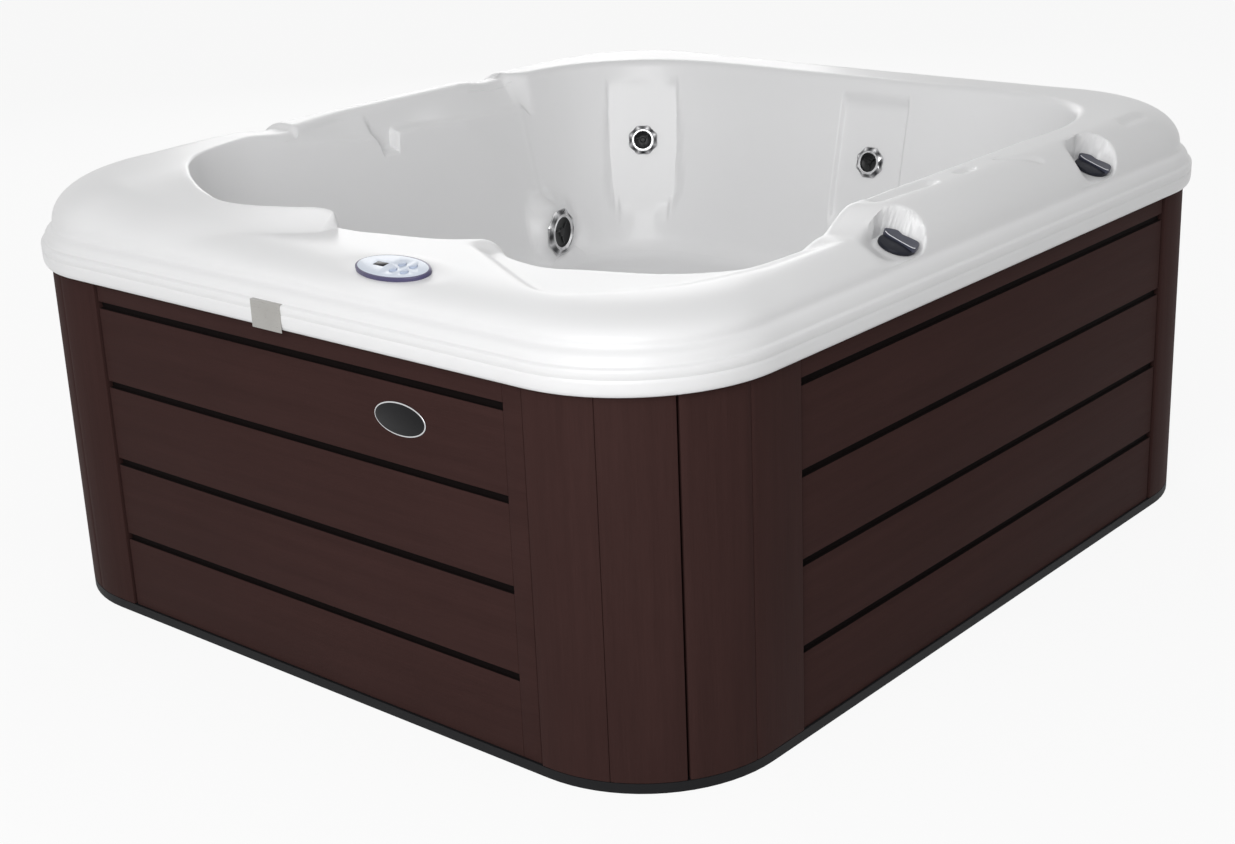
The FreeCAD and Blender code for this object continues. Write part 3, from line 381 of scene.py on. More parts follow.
@dataclass(frozen=True)
class Finishes:
    """Every finish of the tub as a ready material."""

    table: dict[str, bpy.types.Material] = field(default_factory=lambda: {
        finish.name: finish.material() for finish in (
            Acrylic(),
            CompositeBoard("board_along_x", Grain.ALONG_X),
            CompositeBoard("board_along_y", Grain.ALONG_Y),
            CompositeBoard("board_upright", Grain.UPRIGHT),
            Plastic("base_black", (0.008, 0.008, 0.009), 0.60, 0.0004, specular=0.15),
            Plastic("badge_enamel", (0.005, 0.005, 0.006), 0.34, 0.00003, specular=0.18),
            # Near-black finish for the cabinet grooves: painted shade.
            Plastic("groove_shadow", (0.0060, 0.0040, 0.0038), 0.80, 0.0003, specular=0.05),
            Plastic("control_violet", (0.070, 0.062, 0.140), 0.30, 0.00008, 0.2, 0.3),
            Plastic("control_overlay", (0.66, 0.72, 0.82), 0.30, 0.00006, 0.2),
            Plastic("button_pad", (0.47, 0.54, 0.68), 0.36, 0.0001),
            Plastic("display_window", (0.006, 0.006, 0.008), 0.22, 0.00002, specular=0.12),
            Plastic("valve_slate", (0.046, 0.049, 0.074), 0.34, 0.00015, 0.05, 0.25),
            # Darker copy of the valve slate for the skirt: painted shade.
            Plastic("valve_shadow", (0.014, 0.015, 0.022), 0.40, 0.00015, specular=0.15),
            Plastic("nozzle_black", (0.006, 0.0065, 0.007), 0.34, 0.0001, specular=0.25),
            Plastic("pipe_white", (0.70, 0.70, 0.67), 0.34, 0.0001),
            Plastic("hose_vinyl", (0.48, 0.51, 0.49), 0.30, 0.0001, 0.2),
            Plastic("wet_end_black", (0.016, 0.016, 0.017), 0.45, 0.0003),
            Plastic("pack_grey", (0.17, 0.18, 0.19), 0.48, 0.0003),
            # Pale finish for the handles' front edges: a painted highlight.
            Plastic("ridge_line", (0.78, 0.79, 0.82), 0.30, 0.00005, 0.3),
            FacetedChrome(),
            Metal("chrome_plate", (0.66, 0.66, 0.67), 0.07),
            Metal("brushed_sheet", (0.44, 0.43, 0.41), 0.30, (4.0, 4.0, 160.0), 0.00006),
            Metal("heater_steel", (0.52, 0.52, 0.52), 0.26, (4.0, 160.0, 160.0), 0.00006),
            Metal("zinc_plate", (0.50, 0.50, 0.47), 0.34),
            Metal("motor_casting", (0.085, 0.088, 0.095), 0.52, (90.0, 90.0, 90.0), 0.0003),
            Timber("timber_along_x", Grain.ALONG_X),
            Timber("timber_along_y", Grain.ALONG_Y),
            Foam(),
        )})

    def __getitem__(self, name: str) -> bpy.types.Material:
        """The material of that name."""
        return self.table[name]


def dress_node(node: str, material: bpy.types.Material) -> None:
    """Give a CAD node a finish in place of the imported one.

    Args:
        node: name of the node.
        material: the finish.
    """
    slots = frame["nodes"][node].data.materials
    slots.clear()
    slots.append(material)


def to_object(bm: bmesh.types.BMesh, name: str, materials: Sequence[bpy.types.Material], body: str,
              replaces: Iterable[str] = (), smooth: float = 32.0) -> bpy.types.Object:
    """Turn a finished bmesh into a piece that rides on a body.

    Args:
        bm: the mesh, placed in the tub's frame; it is freed.
        name: name of the piece.
        materials: finishes, in the order of the faces' material numbers.
        body: CAD body that carries the piece.
        replaces: CAD nodes that the piece stands for.
        smooth: angle in degrees under which faces blend.

    Returns:
        The new object.
    """
    mesh = bpy.data.meshes.new(name)
    bm.normal_update()
    bm.to_mesh(mesh)
    bm.free()
    for material in materials:
        mesh.materials.append(material)
    mesh.shade_smooth()
    mesh.set_sharp_from_angle(angle=math.radians(smooth))
    piece = bpy.data.objects.new(name, mesh)
    bpy.context.scene.collection.objects.link(piece)
    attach(piece, body)
    if replaces:
        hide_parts(*replaces)
    LOG.info("%s: %d faces on %s", name, len(mesh.polygons), body)
    return piece


def bevel(bm: bmesh.types.BMesh, edges: Iterable[bmesh.types.BMEdge], width: float, segments: int,
          clamp: bool = False) -> None:
    """Round edges over.

    Args:
        bm: mesh that holds the edges.
        edges: the edges to round.
        width: width of the bevel.
        segments: faces across it.
        clamp: keep bevels that meet from crossing.
    """
    bmesh.ops.bevel(bm, geom=list(edges), offset=width, offset_type="OFFSET", affect="EDGES",
                    segments=segments, profile=0.5, material=-1, clamp_overlap=clamp)


def soften(bm: bmesh.types.BMesh, width: float, angle: float, segments: int = 2) -> None:
    """Bevel every edge that turns by more than an angle.

    Args:
        bm: mesh that is softened.
        width: width of the bevels.
        angle: the angle in degrees.
        segments: faces across a bevel.
    """
    limit = math.radians(angle)
    sharp = [edge for edge in bm.edges
             if len(edge.link_faces) == 2 and edge.calc_face_angle(0.0) > limit]
    bevel(bm, sharp, width, segments, clamp=True)


def unit(value: float) -> float:
    """Value held between 0 and 1."""
    return min(1.0, max(0.0, value))


def ramp(value: float, low: float, high: float) -> float:
    """Smooth step from 0 at low to 1 at high."""
    share = unit((value - low) / (high - low))
    return share * share * (3.0 - 2.0 * share)


def stretch(value: float, marks: Quad) -> float:
    """Smooth step up between the first two marks and down again between the last two."""
    return ramp(value, *marks[:2]) * (1.0 - ramp(value, *marks[2:]))


def rounded_distance(x: float, y: float, half_x: float, half_y: float, radius: float) -> float:
    """Signed distance from a point to a rounded rectangle about the origin, negative inside.

    Args:
        x: first coordinate of the point.
        y: second coordinate.
        half_x: half width of the rectangle.
        half_y: half length.
        radius: corner radius.

    Returns:
        The distance.
    """
    across = abs(x) - half_x + radius
    along = abs(y) - half_y + radius
    outside = math.hypot(max(across, 0.0), max(along, 0.0))
    return outside + min(max(across, along), 0.0) - radius


def smooth_loop(points: Sequence[Point], count: int) -> list[Point]:
    """Closed curve through given points.

    Args:
        points: the points, in order round the loop.
        count: samples on each span between two points.

    Returns:
        Points along the curve.
    """
    loop = []
    total = len(points)
    for index in range(total):
        before, start, end, after = (Vector(points[(index + shift) % total]) for shift in (-1, 0, 1, 2))
        for step in range(count):
            share = step / count
            spot = 0.5 * (2 * start + (end - before) * share
                          + (2 * before - 5 * start + 4 * end - after) * share ** 2
                          + (3 * start - before - 3 * end + after) * share ** 3)
            loop.append((spot.x, spot.y))
    return loop


class Zone(Enum):
    """Stretch of the shell's section that a row of the mesh belongs to."""

    UNDER = "under"
    LIP = "lip"
    DOME = "dome"
    DECK = "deck"
    EDGE = "edge"
    WALL = "wall"
    SWEEP = "sweep"
    BENCH = "bench"
    WELL = "well"
    FLOOR = "floor"


@dataclass
class Column:
    """One upright section of the shell: its line in plan and the facts its rows need."""

    outer: Vector
    inward: Vector
    slant: float
    reach: float
    rim: Vector
    rim_soft: Vector
    lean: Vector
    well: Vector


@dataclass
class JetSpot:
    """Landing of a jet on the wall: centre, axis into the water and the sizes of its face."""

    name: str
    centre: Vector
    axis: Vector
    radius: float
    mouth: float

    def matrix(self) -> Matrix:
        """Frame whose Z is the axis and whose X points down the wall.

        Returns:
            The frame.
        """
        down = (Vector((0, 0, -1)) - self.axis * self.axis.dot(Vector((0, 0, -1)))).normalized()
        side = self.axis.cross(down)
        turned = Matrix((down, side, self.axis)).transposed().to_4x4()
        return Matrix.Translation(self.centre) @ turned


JETS = (
    JetSpot("corner", Vector((-0.5213289, 0.6547779, 0.651)),
            Vector((0.571962, -0.787238, 0.230466)), 0.037, 0.0212),
    JetSpot("back", Vector((0.093, 0.7181842, 0.651)), Vector((0.0, -0.97308, 0.230466)), 0.037, 0.0212),
    JetSpot("left", Vector((-0.5863684, 0.412, 0.466)), Vector((0.984808, 0.173648, 0.0)), 0.058, 0.0360),
)
VALVES = {"front": Vector((0.788, -0.255, 0.770)), "back": Vector((0.788, 0.432, 0.770))}
VALVE_AXIS = Vector((0.34202, 0.0, 0.939693))
CONTROL = Matrix.Translation((0.215, -0.875, 0.791)) @ Matrix.Rotation(math.radians(10.0), 4, "X")
CONTROL_HALF: Point = (0.080, 0.042)

# Inner edge of the rim in plan, counter-clockwise from the right side, in metres
INNER_EDGE: tuple[Point, ...] = (
    (0.690, -0.30), (0.692, 0.0), (0.690, 0.30), (0.688, 0.51), (0.62, 0.68), (0.45, 0.75), (0.2, 0.75),
    (-0.1, 0.75), (-0.37, 0.75), (-0.53, 0.707), (-0.647, 0.59), (-0.69, 0.43), (-0.69, 0.2), (-0.69, -0.1),
    (-0.69, -0.3), (-0.686, -0.45), (-0.656, -0.57), (-0.605, -0.640), (-0.545, -0.687), (-0.478, -0.731),
    (-0.400, -0.774), (-0.324, -0.807), (-0.269, -0.815), (-0.205, -0.806), (-0.138, -0.781),
    (-0.076, -0.746), (-0.04, -0.742), (0.025, -0.724), (0.107, -0.707), (0.162, -0.689), (0.215, -0.655),
    (0.245, -0.648), (0.285, -0.668), (0.34, -0.682), (0.39, -0.684), (0.452, -0.660),
    (0.568, -0.615), (0.64, -0.555), (0.683, -0.48), (0.69, -0.38))
# Rolled lip in section: inset from the outline and height, from the hidden return up to the dome
LIP_SECTION: tuple[Point, ...] = (
    (0.014, 0.712), (0.0128, 0.695), (0.0118, 0.681), (0.010, 0.677), (0.0075, 0.6762), (0.0048, 0.6772),
    (0.0026, 0.6802), (0.001, 0.685), (0.0002, 0.691), (0.0, 0.698), (0.0, 0.7032), (0.0012, 0.7046),
    (0.0012, 0.7054), (0.0, 0.7068), (0.0, 0.716), (0.0006, 0.7194), (0.0022, 0.7216), (0.0052, 0.7226),
    (0.0068, 0.7235), (0.0074, 0.7256), (0.0082, 0.730), (0.0096, 0.7346), (0.012, 0.7386), (0.015, 0.7418),
    (0.0185, 0.7442), (0.0215, 0.7461), (0.024, 0.7484), (0.0252, 0.7512), (0.0255, 0.755))
# Ground between the crease on the front deck and the water, which lies lower than the deck
LOW_GROUND: tuple[Point, ...] = (
    (0.238, -0.60), (0.222, -0.702), (0.356, -0.775), (0.493, -0.850), (0.560, -0.853), (0.63, -0.79),
    (0.70, -0.70), (0.745, -0.55), (0.750, -0.36), (0.60, -0.34), (0.28, -0.50))
# Shallow valleys behind the hand rests on the right rim: both ends in plan, half width and depth
VALLEYS: tuple[tuple[Point, Point, float, float], ...] = (
    ((0.722, -0.215), (0.731, -0.060), 0.020, 0.0075), ((0.735, 0.035), (0.735, 0.070), 0.016, 0.006),
    ((0.738, 0.165), (0.784, 0.235), 0.015, 0.006), ((0.770, 0.595), (0.764, 0.680), 0.018, 0.0075))
# Stretches of the inner edge that need closer columns: low and high x, low and high y, and the distance
FINE_STRETCHES: tuple[tuple[float, ...], ...] = (
    (0.6, 1.0, -0.345, -0.165, 0.004), (0.6, 1.0, 0.342, 0.522, 0.004), (0.6, 1.0, -0.36, 0.30, 0.006),
    (-0.074, -0.052, -1.0, -0.7, 0.002), (-1.0, -0.6, -0.33, 0.50, 0.006), (-0.11, 0.02, -1.0, -0.7, 0.004),
    (0.13, 0.33, -1.0, -0.6, 0.006))


def run_distance(x: float, y: float, start: Point, end: Point) -> float:
    """Distance in plan from a point to a straight run.

    Args:
        x: first coordinate of the point.
        y: second coordinate.
        start: first end of the run.
        end: last end.

    Returns:
        The distance.
    """
    run_x, run_y = end[0] - start[0], end[1] - start[1]
    share = unit(((x - start[0]) * run_x + (y - start[1]) * run_y) / (run_x ** 2 + run_y ** 2))
    return math.hypot(x - start[0] - share * run_x, y - start[1] - share * run_y)


def ray_to_edge(origin: Vector, way: Vector, half: Point, radius: float) -> Vector:
    """Point where a ray from inside leaves a rounded rectangle.

    Args:
        origin: start of the ray in plan.
        way: unit direction in plan.
        half: half width and half length of the rectangle.
        radius: corner radius.

    Returns:
        The crossing.
    """
    near, far = 0.0, 3.0
    for _ in range(40):
        middle = (near + far) / 2
        spot = origin + way * middle
        if rounded_distance(spot.x, spot.y, *half, radius) < 0.0:
            near = middle
        else:
            far = middle
    return origin + way * near


def inside_depth(x: float, y: float, outline: Sequence[Point]) -> float:
    """Signed distance from a point to a closed outline in plan, positive inside.

    Args:
        x: first coordinate of the point.
        y: second coordinate.
        outline: corners of the outline, in order.

    Returns:
        The distance.
    """
    nearest = math.inf
    inside = False
    for (ax, ay), (bx, by) in zip(outline, (*outline[1:], outline[0])):
        nearest = min(nearest, run_distance(x, y, (ax, ay), (bx, by)))
        if (ay > y) != (by > y) and x < ax + (bx - ax) * (y - ay) / (by - ay):
            inside = not inside
    return nearest if inside else -nearest


@dataclass
class ShellMoulding:
    """White moulding in one piece: rolled lip, domed rim, deck, basin wall, bench and footwell."""

    half: Point = (0.85, 0.965)
    corner: float = 0.277
    heart: Point = (0.0, 0.03)
    raised: float = 0.836
    deck: float = 0.798
    low_drop: float = 0.019
    dome_foot: Point = LIP_SECTION[-1]
    dome_width: float = 0.126
    edge_radius: float = 0.022
    draft: float = 0.2368
    seat: float = 0.380
    sweep_radius: float = 0.070
    floor: float = 0.062
    well_half: Point = (0.3088, 0.3488)
    well_corner: float = 0.12
    well_draft: float = 0.15337
    well_round: float = 0.020
    floor_fillet: float = 0.025
    under_gap: float = 0.045
    grip_setback: float = 0.030
    grip_dip: float = 0.011
    ledge: float = 0.778
    ledge_fall: float = 0.024
    slot_depth: float = 0.040
    plain_ledge: float = 0.700
    scoop: Triple = (-0.269, -0.513, 0.302)
    crisp_radius: float = 0.007
    backing: float = 0.007
    step_front: float = -0.345
    pocket_floor: float = 0.041
    pocket_rim: float = 0.050
    pocket_reach: float = 0.062
    pocket_ease: float = 0.004
    pocket_height: float = 0.08
    control_seat: Point = (1.06, 1.70)
    control_gap: float = 0.0004
    landing_reach: float = 0.26
    landing_gap: float = 0.0003
    boss: Point = (0.066, 0.090)
    recess_side: Point = (0.083, 0.089)
    recess_top: Point = (0.128, 0.150)
    recess_foot: float = 0.104
    recess_near: float = 0.16
    recess_band: Point = (0.074, 0.098)
    recess_gap: float = 0.003
    plain_gap: float = 0.013
    front_dip: Quad = (-0.42, -0.30, -0.295, -0.280)
    back_dip: Quad = (0.25, 0.35, 0.385, 0.40)
    grip_run: Quad = (-0.33, -0.12, 0.38, 0.44)
    groove_run: Quad = (-0.080, -0.060, 0.06, 0.18)
    ledge_run: Quad = (-0.42, -0.32, 0.45, 0.52)
    slot_run: Quad = (-0.072, -0.064, -0.014, -0.006)
    lean_span: int = 20
    left_lean_span: int = 50
    soft_span: int = 60
    pocket_mouth: Vector = field(default_factory=lambda: Vector((0.42, -0.90, -0.15)).normalized())
    step: float = 0.002
    rows: dict[Zone, int] = field(default_factory=lambda: {
        Zone.UNDER: 7, Zone.LIP: len(LIP_SECTION), Zone.DOME: 24, Zone.DECK: 16, Zone.EDGE: 8, Zone.WALL: 30,
        Zone.SWEEP: 7, Zone.BENCH: 8, Zone.WELL: 12, Zone.FLOOR: 4})

    def spacing(self, x: float, y: float) -> float:
        """Distance between columns at a point of the inner edge, finer where forms need it.

        Args:
            x: place across the tub.
            y: place along it.

        Returns:
            The distance.
        """
        low_side, high_side = self.recess_band
        for jet in JETS[:2]:
            side = abs((jet.matrix().inverted() @ Vector((x, y, jet.centre.z))).y)
            near = math.hypot(x - jet.centre.x, y - jet.centre.y) < self.recess_near
            if near and low_side < side < high_side:
                return self.recess_gap
        for low_x, high_x, low_y, high_y, gap in FINE_STRETCHES:
            if low_x < x < high_x and low_y < y < high_y:
                return gap
        return self.plain_gap

    def columns(self) -> list[Column]:
        """Lay the columns out round the inner edge.

        Returns:
            The columns, in order.
        """
        loop = [Vector(point) for point in smooth_loop(INNER_EDGE, 40)]
        even = [loop[0]]
        for point in loop[1:]:
            while (point - even[-1]).length > self.step:
                even.append(even[-1] + (point - even[-1]).normalized() * self.step)
        total = len(even)
        normals = []
        for index in range(total):
            run = (even[(index + 3) % total] - even[index - 3]).normalized()
            normals.append(Vector((-run.y, run.x)))
        chosen = []
        due = 1.0
        for index, point in enumerate(even):
            due += self.step / self.spacing(point.x, point.y)
            if due >= 1.0:
                due -= 1.0
                chosen.append(index)
        return [self.column(even, normals, index) for index in chosen]

    def column(self, even: list[Vector], normals: list[Vector], index: int) -> Column:
        """Work out one column.

        Args:
            even: points along the inner edge at an even step.
            normals: directions into the water at those points.
            index: number of the column's point.

        Returns:
            The column.
        """
        total = len(even)
        heart = Vector(self.heart)
        rim = even[index]
        way = (rim - heart).normalized()
        outer = ray_to_edge(heart, way, self.half, self.corner)
        inside = outer - way * self.step
        slant = -rounded_distance(inside.x, inside.y, *self.half, self.corner) / self.step
        blend = self.left_lean_span if rim.x < -0.3 else self.lean_span
        near = [normals[(index + shift) % total] for shift in range(-blend, blend + 1)]
        wide = [even[(index + shift) % total] for shift in range(-self.soft_span, self.soft_span + 1)]
        lean = sum(near, Vector((0.0, 0.0))).normalized()
        soft = sum(wide, Vector((0.0, 0.0))) / len(wide)
        return Column(outer, -way, slant, (outer - rim).length, rim, soft, lean,
                      ray_to_edge(heart, way, self.well_half, self.well_corner))

    def height(self, x: float, y: float) -> float:
        """Height of the rim's top over a point in plan.

        Args:
            x: place across the tub.
            y: place along it.

        Returns:
            The height.
        """
        fall = self.raised - self.deck
        if x < -0.6 and y > -0.45:
            return self.raised - self.grip_dip * (stretch(y, self.front_dip) + stretch(y, self.back_dip))
        if x > 0.66 and y > -0.26:
            return self.raised_right(x, y)
        if y > -0.18 or x < -0.66:
            return self.raised
        if x < -0.05:
            return self.deck + fall * (1.0 - ramp(x, -0.066, -0.060)) * self.lip_share(x, y)
        top = self.shoulder(x, y)
        if x > 0.1 and y < -0.3:
            width = 0.034 + 0.040 * ramp(x, 0.45, 0.60)
            top -= self.low_drop * ramp(inside_depth(x, y, LOW_GROUND), -0.008, width)
        return top

    def shoulder(self, x: float, y: float) -> float:
        """Height of the right rim where it falls to the front deck.

        Args:
            x: place across the tub.
            y: place along it.

        Returns:
            The height.
        """
        margin = -rounded_distance(x, y, *self.half, self.corner)
        rise = 0.16 - 0.10 * ramp(margin, 0.02, 0.21)
        fall = (self.raised - self.deck) * (1.0 - ramp(y, self.step_front, self.step_front + rise))
        return self.raised - fall

    def raised_right(self, x: float, y: float) -> float:
        """Height of the right rim, with the valleys behind its hand rests."""
        return self.shoulder(x, y) - sum(depth * (1.0 - ramp(run_distance(x, y, start, end), 0.0, width))
                                         for start, end, width, depth in VALLEYS)

    def lip_share(self, x: float, y: float) -> float:
        """Share of the raised lip round the scoop, which falls outwards from a crisp crest.

        Args:
            x: place across the tub.
            y: place along it.

        Returns:
            The share, 0 on the deck and 1 at the crest.
        """
        centre_x, centre_y, radius = self.scoop
        outward = math.hypot(x - centre_x, y - centre_y) - radius
        width = 0.045 + 0.34 * unit((-x - 0.06) / 0.44) ** 2
        share = (1.0 - unit(outward / width)) ** 1.5
        return share + (1.0 - share) * ramp(-x, 0.42, 0.62)

    def round_of(self, column: Column) -> float:
        """Radius of the inner edge on a column: crisp round the scoop, soft elsewhere."""
        crisp = (1.0 - ramp(column.rim.x, -0.05, 0.0)) * (1.0 - ramp(column.rim.y, -0.50, -0.30))
        return self.edge_radius + (self.crisp_radius - self.edge_radius) * crisp

    def setback(self, column: Column) -> float:
        """Distance by which the left wall stands back above the grip's ledge, 0 on the other walls."""
        left = column.rim.x <= -0.6
        return self.grip_setback * stretch(column.rim.y, self.grip_run) if left else 0.0

    def ledge_height(self, column: Column) -> float:
        """Height of the ledge on a column of the left wall.

        Args:
            column: the upright section.

        Returns:
            The height.
        """
        y = column.rim.y
        if column.rim.x > -0.6:
            return self.plain_ledge
        along = stretch(y, self.ledge_run)
        front = self.ledge_fall * (1.0 - ramp(y, -0.30, -0.07))
        slot = self.slot_depth * stretch(y, self.slot_run)
        behind = self.ledge_fall * ramp(y, 0.02, 0.30) * 0.5 + 0.026 * ramp(y, 0.395, 0.425)
        return self.plain_ledge + (self.ledge + front - slot - behind - self.plain_ledge) * along

    def place(self, zone: Zone, column: Column, share: float) -> Vector:
        """Point of the moulding.

        Args:
            zone: stretch of the section.
            column: the upright section.
            share: place along the stretch, 0 to 1.

        Returns:
            The point in the tub's frame.
        """
        return {Zone.UNDER: self.under, Zone.LIP: self.lip, Zone.DOME: self.dome, Zone.DECK: self.flat,
                Zone.EDGE: self.edge, Zone.WALL: self.wall, Zone.SWEEP: self.sweep, Zone.BENCH: self.bench,
                Zone.WELL: self.well, Zone.FLOOR: self.base}[zone](column, share)

    def under(self, column: Column, share: float) -> Vector:
        """Hidden back of the moulding, from under the floor out to the lip.

        Args:
            column: the upright section.
            share: place along the stretch, 0 to 1.

        Returns:
            The point in the tub's frame.
        """
        heart = Vector(self.heart)
        bench = self.wall_plan(column, self.seat) + column.lean * 0.05
        stops = (
            (heart, self.floor - self.backing),
            (column.well.lerp(heart, 0.12), self.floor - self.backing),
            (column.well.lerp(heart, -0.05), self.seat - 0.03),
            (bench, self.seat - 0.012),
            (bench - column.lean * 0.10, self.seat + 0.06),
            (column.rim - column.lean * (self.under_gap + self.setback(column)), 0.700),
            (column.outer + column.inward * (0.03 / column.slant), 0.715))
        spot, level = stops[round(share * (len(stops) - 1))]
        return Vector((*spot, level))

    def lip(self, column: Column, share: float) -> Vector:
        """Rolled lip round the outside."""
        inset, level = LIP_SECTION[round(share * (len(LIP_SECTION) - 1))]
        return Vector((*(column.outer + column.inward * (inset / column.slant)), level))

    def crest(self, column: Column) -> tuple[float, float]:
        """Start and width of the dome along a column."""
        start = self.dome_foot[0] / column.slant
        return start, min(self.dome_width, 0.6 * (column.reach - start))

    def dome(self, column: Column, share: float) -> Vector:
        """Quarter round from the lip to the top of the rim.

        Args:
            column: the upright section.
            share: place along the stretch, 0 to 1.

        Returns:
            The point in the tub's frame.
        """
        start, width = self.crest(column)
        turn = share * math.pi / 2
        spot = column.outer + column.inward * (start + width * (1.0 - math.cos(turn)))
        foot = self.dome_foot[1]
        level = foot + (self.height(spot.x, spot.y) - foot) * math.sin(turn)
        return self.fittings(Vector((*spot, level)))

    def turnover(self, column: Column) -> Triple:
        """Radius of a column's inner edge, its turn in radians and the length of its tangent.

        Args:
            column: the upright section.

        Returns:
            Radius, turn and tangent.
        """
        turn = math.pi / 2 - math.atan(self.draft)
        radius = self.round_of(column)
        return radius, turn, radius * math.tan(turn / 2)

    def flat(self, column: Column, share: float) -> Vector:
        """Deck from the top of the dome to the inner edge.

        Args:
            column: the upright section.
            share: place along the stretch, 0 to 1.

        Returns:
            The point in the tub's frame.
        """
        start, width = self.crest(column)
        first = column.outer + column.inward * (start + width)
        last = column.rim - column.lean * (self.turnover(column)[2] + self.setback(column))
        spot = first.lerp(last, share)
        return self.fittings(Vector((*spot, self.height(spot.x, spot.y))))

    def edge(self, column: Column, share: float) -> Vector:
        """Round inner edge.

        Args:
            column: the upright section.
            share: place along the stretch, 0 to 1.

        Returns:
            The point in the tub's frame.
        """
        radius, turn, tangent = self.turnover(column)
        angle = turn * share
        start = column.rim - column.lean * (tangent + self.setback(column))
        spot = start + column.lean * (radius * math.sin(angle))
        level = self.height(start.x, start.y) - radius * (1.0 - math.cos(angle))
        return self.fittings(Vector((*spot, level)))

    def wall_top(self, column: Column) -> float:
        """Height at which the inner edge becomes the wall.

        Args:
            column: the upright section.

        Returns:
            The height.
        """
        radius, turn, tangent = self.turnover(column)
        start = column.rim - column.lean * (tangent + self.setback(column))
        return self.height(start.x, start.y) - radius * (1.0 - math.cos(turn))

    def wall_plan(self, column: Column, level: float) -> Vector:
        """Place in plan of the wall at a height.

        Args:
            column: the upright section.
            level: the height.

        Returns:
            The place in plan.
        """
        dip = self.raised - self.height(*column.rim) if column.rim.x < -0.64 else 0.0
        top = self.wall_top(column) + dip + self.round_of(column) * (1.0 - math.sin(math.atan(self.draft)))
        ease = ramp(top - level, 0.10, 0.40)
        ledge = self.ledge_height(column)
        step = 0.30 + 0.70 * stretch(column.rim.y, self.groove_run)
        slope = unit((level - ledge) / max(0.01, self.wall_top(column) - ledge))
        behind = self.setback(column) * (
            step * ramp(level, ledge - 0.008, ledge + 0.004) + (1.0 - step) * slope)
        return column.rim.lerp(column.rim_soft, ease) + column.lean * (self.draft * (top - level) - behind)

    def wall(self, column: Column, share: float) -> Vector:
        """Wall of the basin, with rows gathered at the ledge.

        Args:
            column: the upright section.
            share: place along the stretch, 0 to 1.

        Returns:
            The point in the tub's frame.
        """
        top = self.wall_top(column)
        low = self.seat + self.sweep_radius * (1.0 - math.sin(math.atan(self.draft)))
        ledge = self.ledge_height(column)
        marks = ((0.0, top), (0.35, ledge + 0.008), (0.55, ledge - 0.014), (1.0, low))
        for (first, high), (last, deep) in zip(marks, marks[1:]):
            if share <= last:
                level = high + (deep - high) * (share - first) / (last - first)
                break
        return self.landings(Vector((*self.wall_plan(column, level), level)))

    def sweep(self, column: Column, share: float) -> Vector:
        """Hollow curve from the wall to the bench.

        Args:
            column: the upright section.
            share: place along the stretch, 0 to 1.

        Returns:
            The point in the tub's frame.
        """
        slope = math.atan(self.draft)
        angle = slope + (math.pi / 2 - slope) * share
        start = self.wall_plan(column, self.seat + self.sweep_radius * (1.0 - math.sin(slope)))
        out = self.sweep_radius * (math.cos(slope) - math.cos(angle))
        level = self.seat + self.sweep_radius * (1.0 - math.sin(angle))
        return self.landings(Vector((*(start + column.lean * out), level)))

    def bench(self, column: Column, share: float) -> Vector:
        """Bench from the foot of the wall to the footwell, dished along its middle.

        Args:
            column: the upright section.
            share: place along the stretch, 0 to 1.

        Returns:
            The point in the tub's frame.
        """
        first = self.sweep(column, 1.0)
        last = self.well(column, 0.0)
        dish = 0.006 * math.sin(math.pi * share) ** 2
        return first.lerp(last, share) - Vector((0.0, 0.0, dish))

    def well(self, column: Column, share: float) -> Vector:
        """Footwell wall with its round top and its filleted foot.

        Args:
            column: the upright section.
            share: place along the stretch, 0 to 1.

        Returns:
            The point in the tub's frame.
        """
        slope = math.atan(self.well_draft)
        turn = math.pi / 2 - slope
        tangent = self.well_round * math.tan(turn / 2)
        foot = self.floor_fillet * math.tan(turn / 2)
        drop = self.seat - self.floor
        if share < 0.4:
            angle = turn * share / 0.4
            inset = self.well_round * math.sin(angle) - tangent
            level = self.seat - self.well_round * (1.0 - math.cos(angle))
        else:
            angle = slope + turn * max(0.0, (share - 0.6) / 0.4)
            inset = self.well_draft * drop + foot - self.floor_fillet * math.cos(angle)
            level = self.floor + self.floor_fillet * (1.0 - math.sin(angle))
        way = -column.inward
        half = (self.well_half[0] - inset, self.well_half[1] - inset)
        return Vector((*ray_to_edge(Vector(self.heart), way, half, self.well_corner), level))

    def base(self, column: Column, share: float) -> Vector:
        """Floor of the footwell, to its middle."""
        return self.well(column, 1.0).lerp(Vector((*self.heart, self.floor)), share)

    def fittings(self, point: Vector) -> Vector:
        """Shape the rim's top round the valves and under the control.

        Args:
            point: a point of the plain rim.

        Returns:
            The point of the shaped rim.
        """
        for valve in VALVES.values():
            offset = point - valve
            level = offset.dot(VALVE_AXIS)
            flat = offset - VALVE_AXIS * level
            near = max(0.0, flat.normalized().dot(self.pocket_mouth)) if flat.length else 0.0
            wide = self.pocket_rim + self.pocket_reach * near
            if flat.length < wide and abs(level) < self.pocket_height:
                share = ramp(flat.length, self.pocket_floor + self.pocket_ease * near, wide)
                point = point - VALVE_AXIS * (level * (1.0 - share))
        local = CONTROL.inverted() @ point
        ring = math.hypot(local.x / CONTROL_HALF[0], local.y / CONTROL_HALF[1])
        if ring < self.control_seat[1]:
            share = ramp(ring, *self.control_seat)
            local.z = local.z * share - self.control_gap * (1.0 - share)
            point = CONTROL @ local
        return point

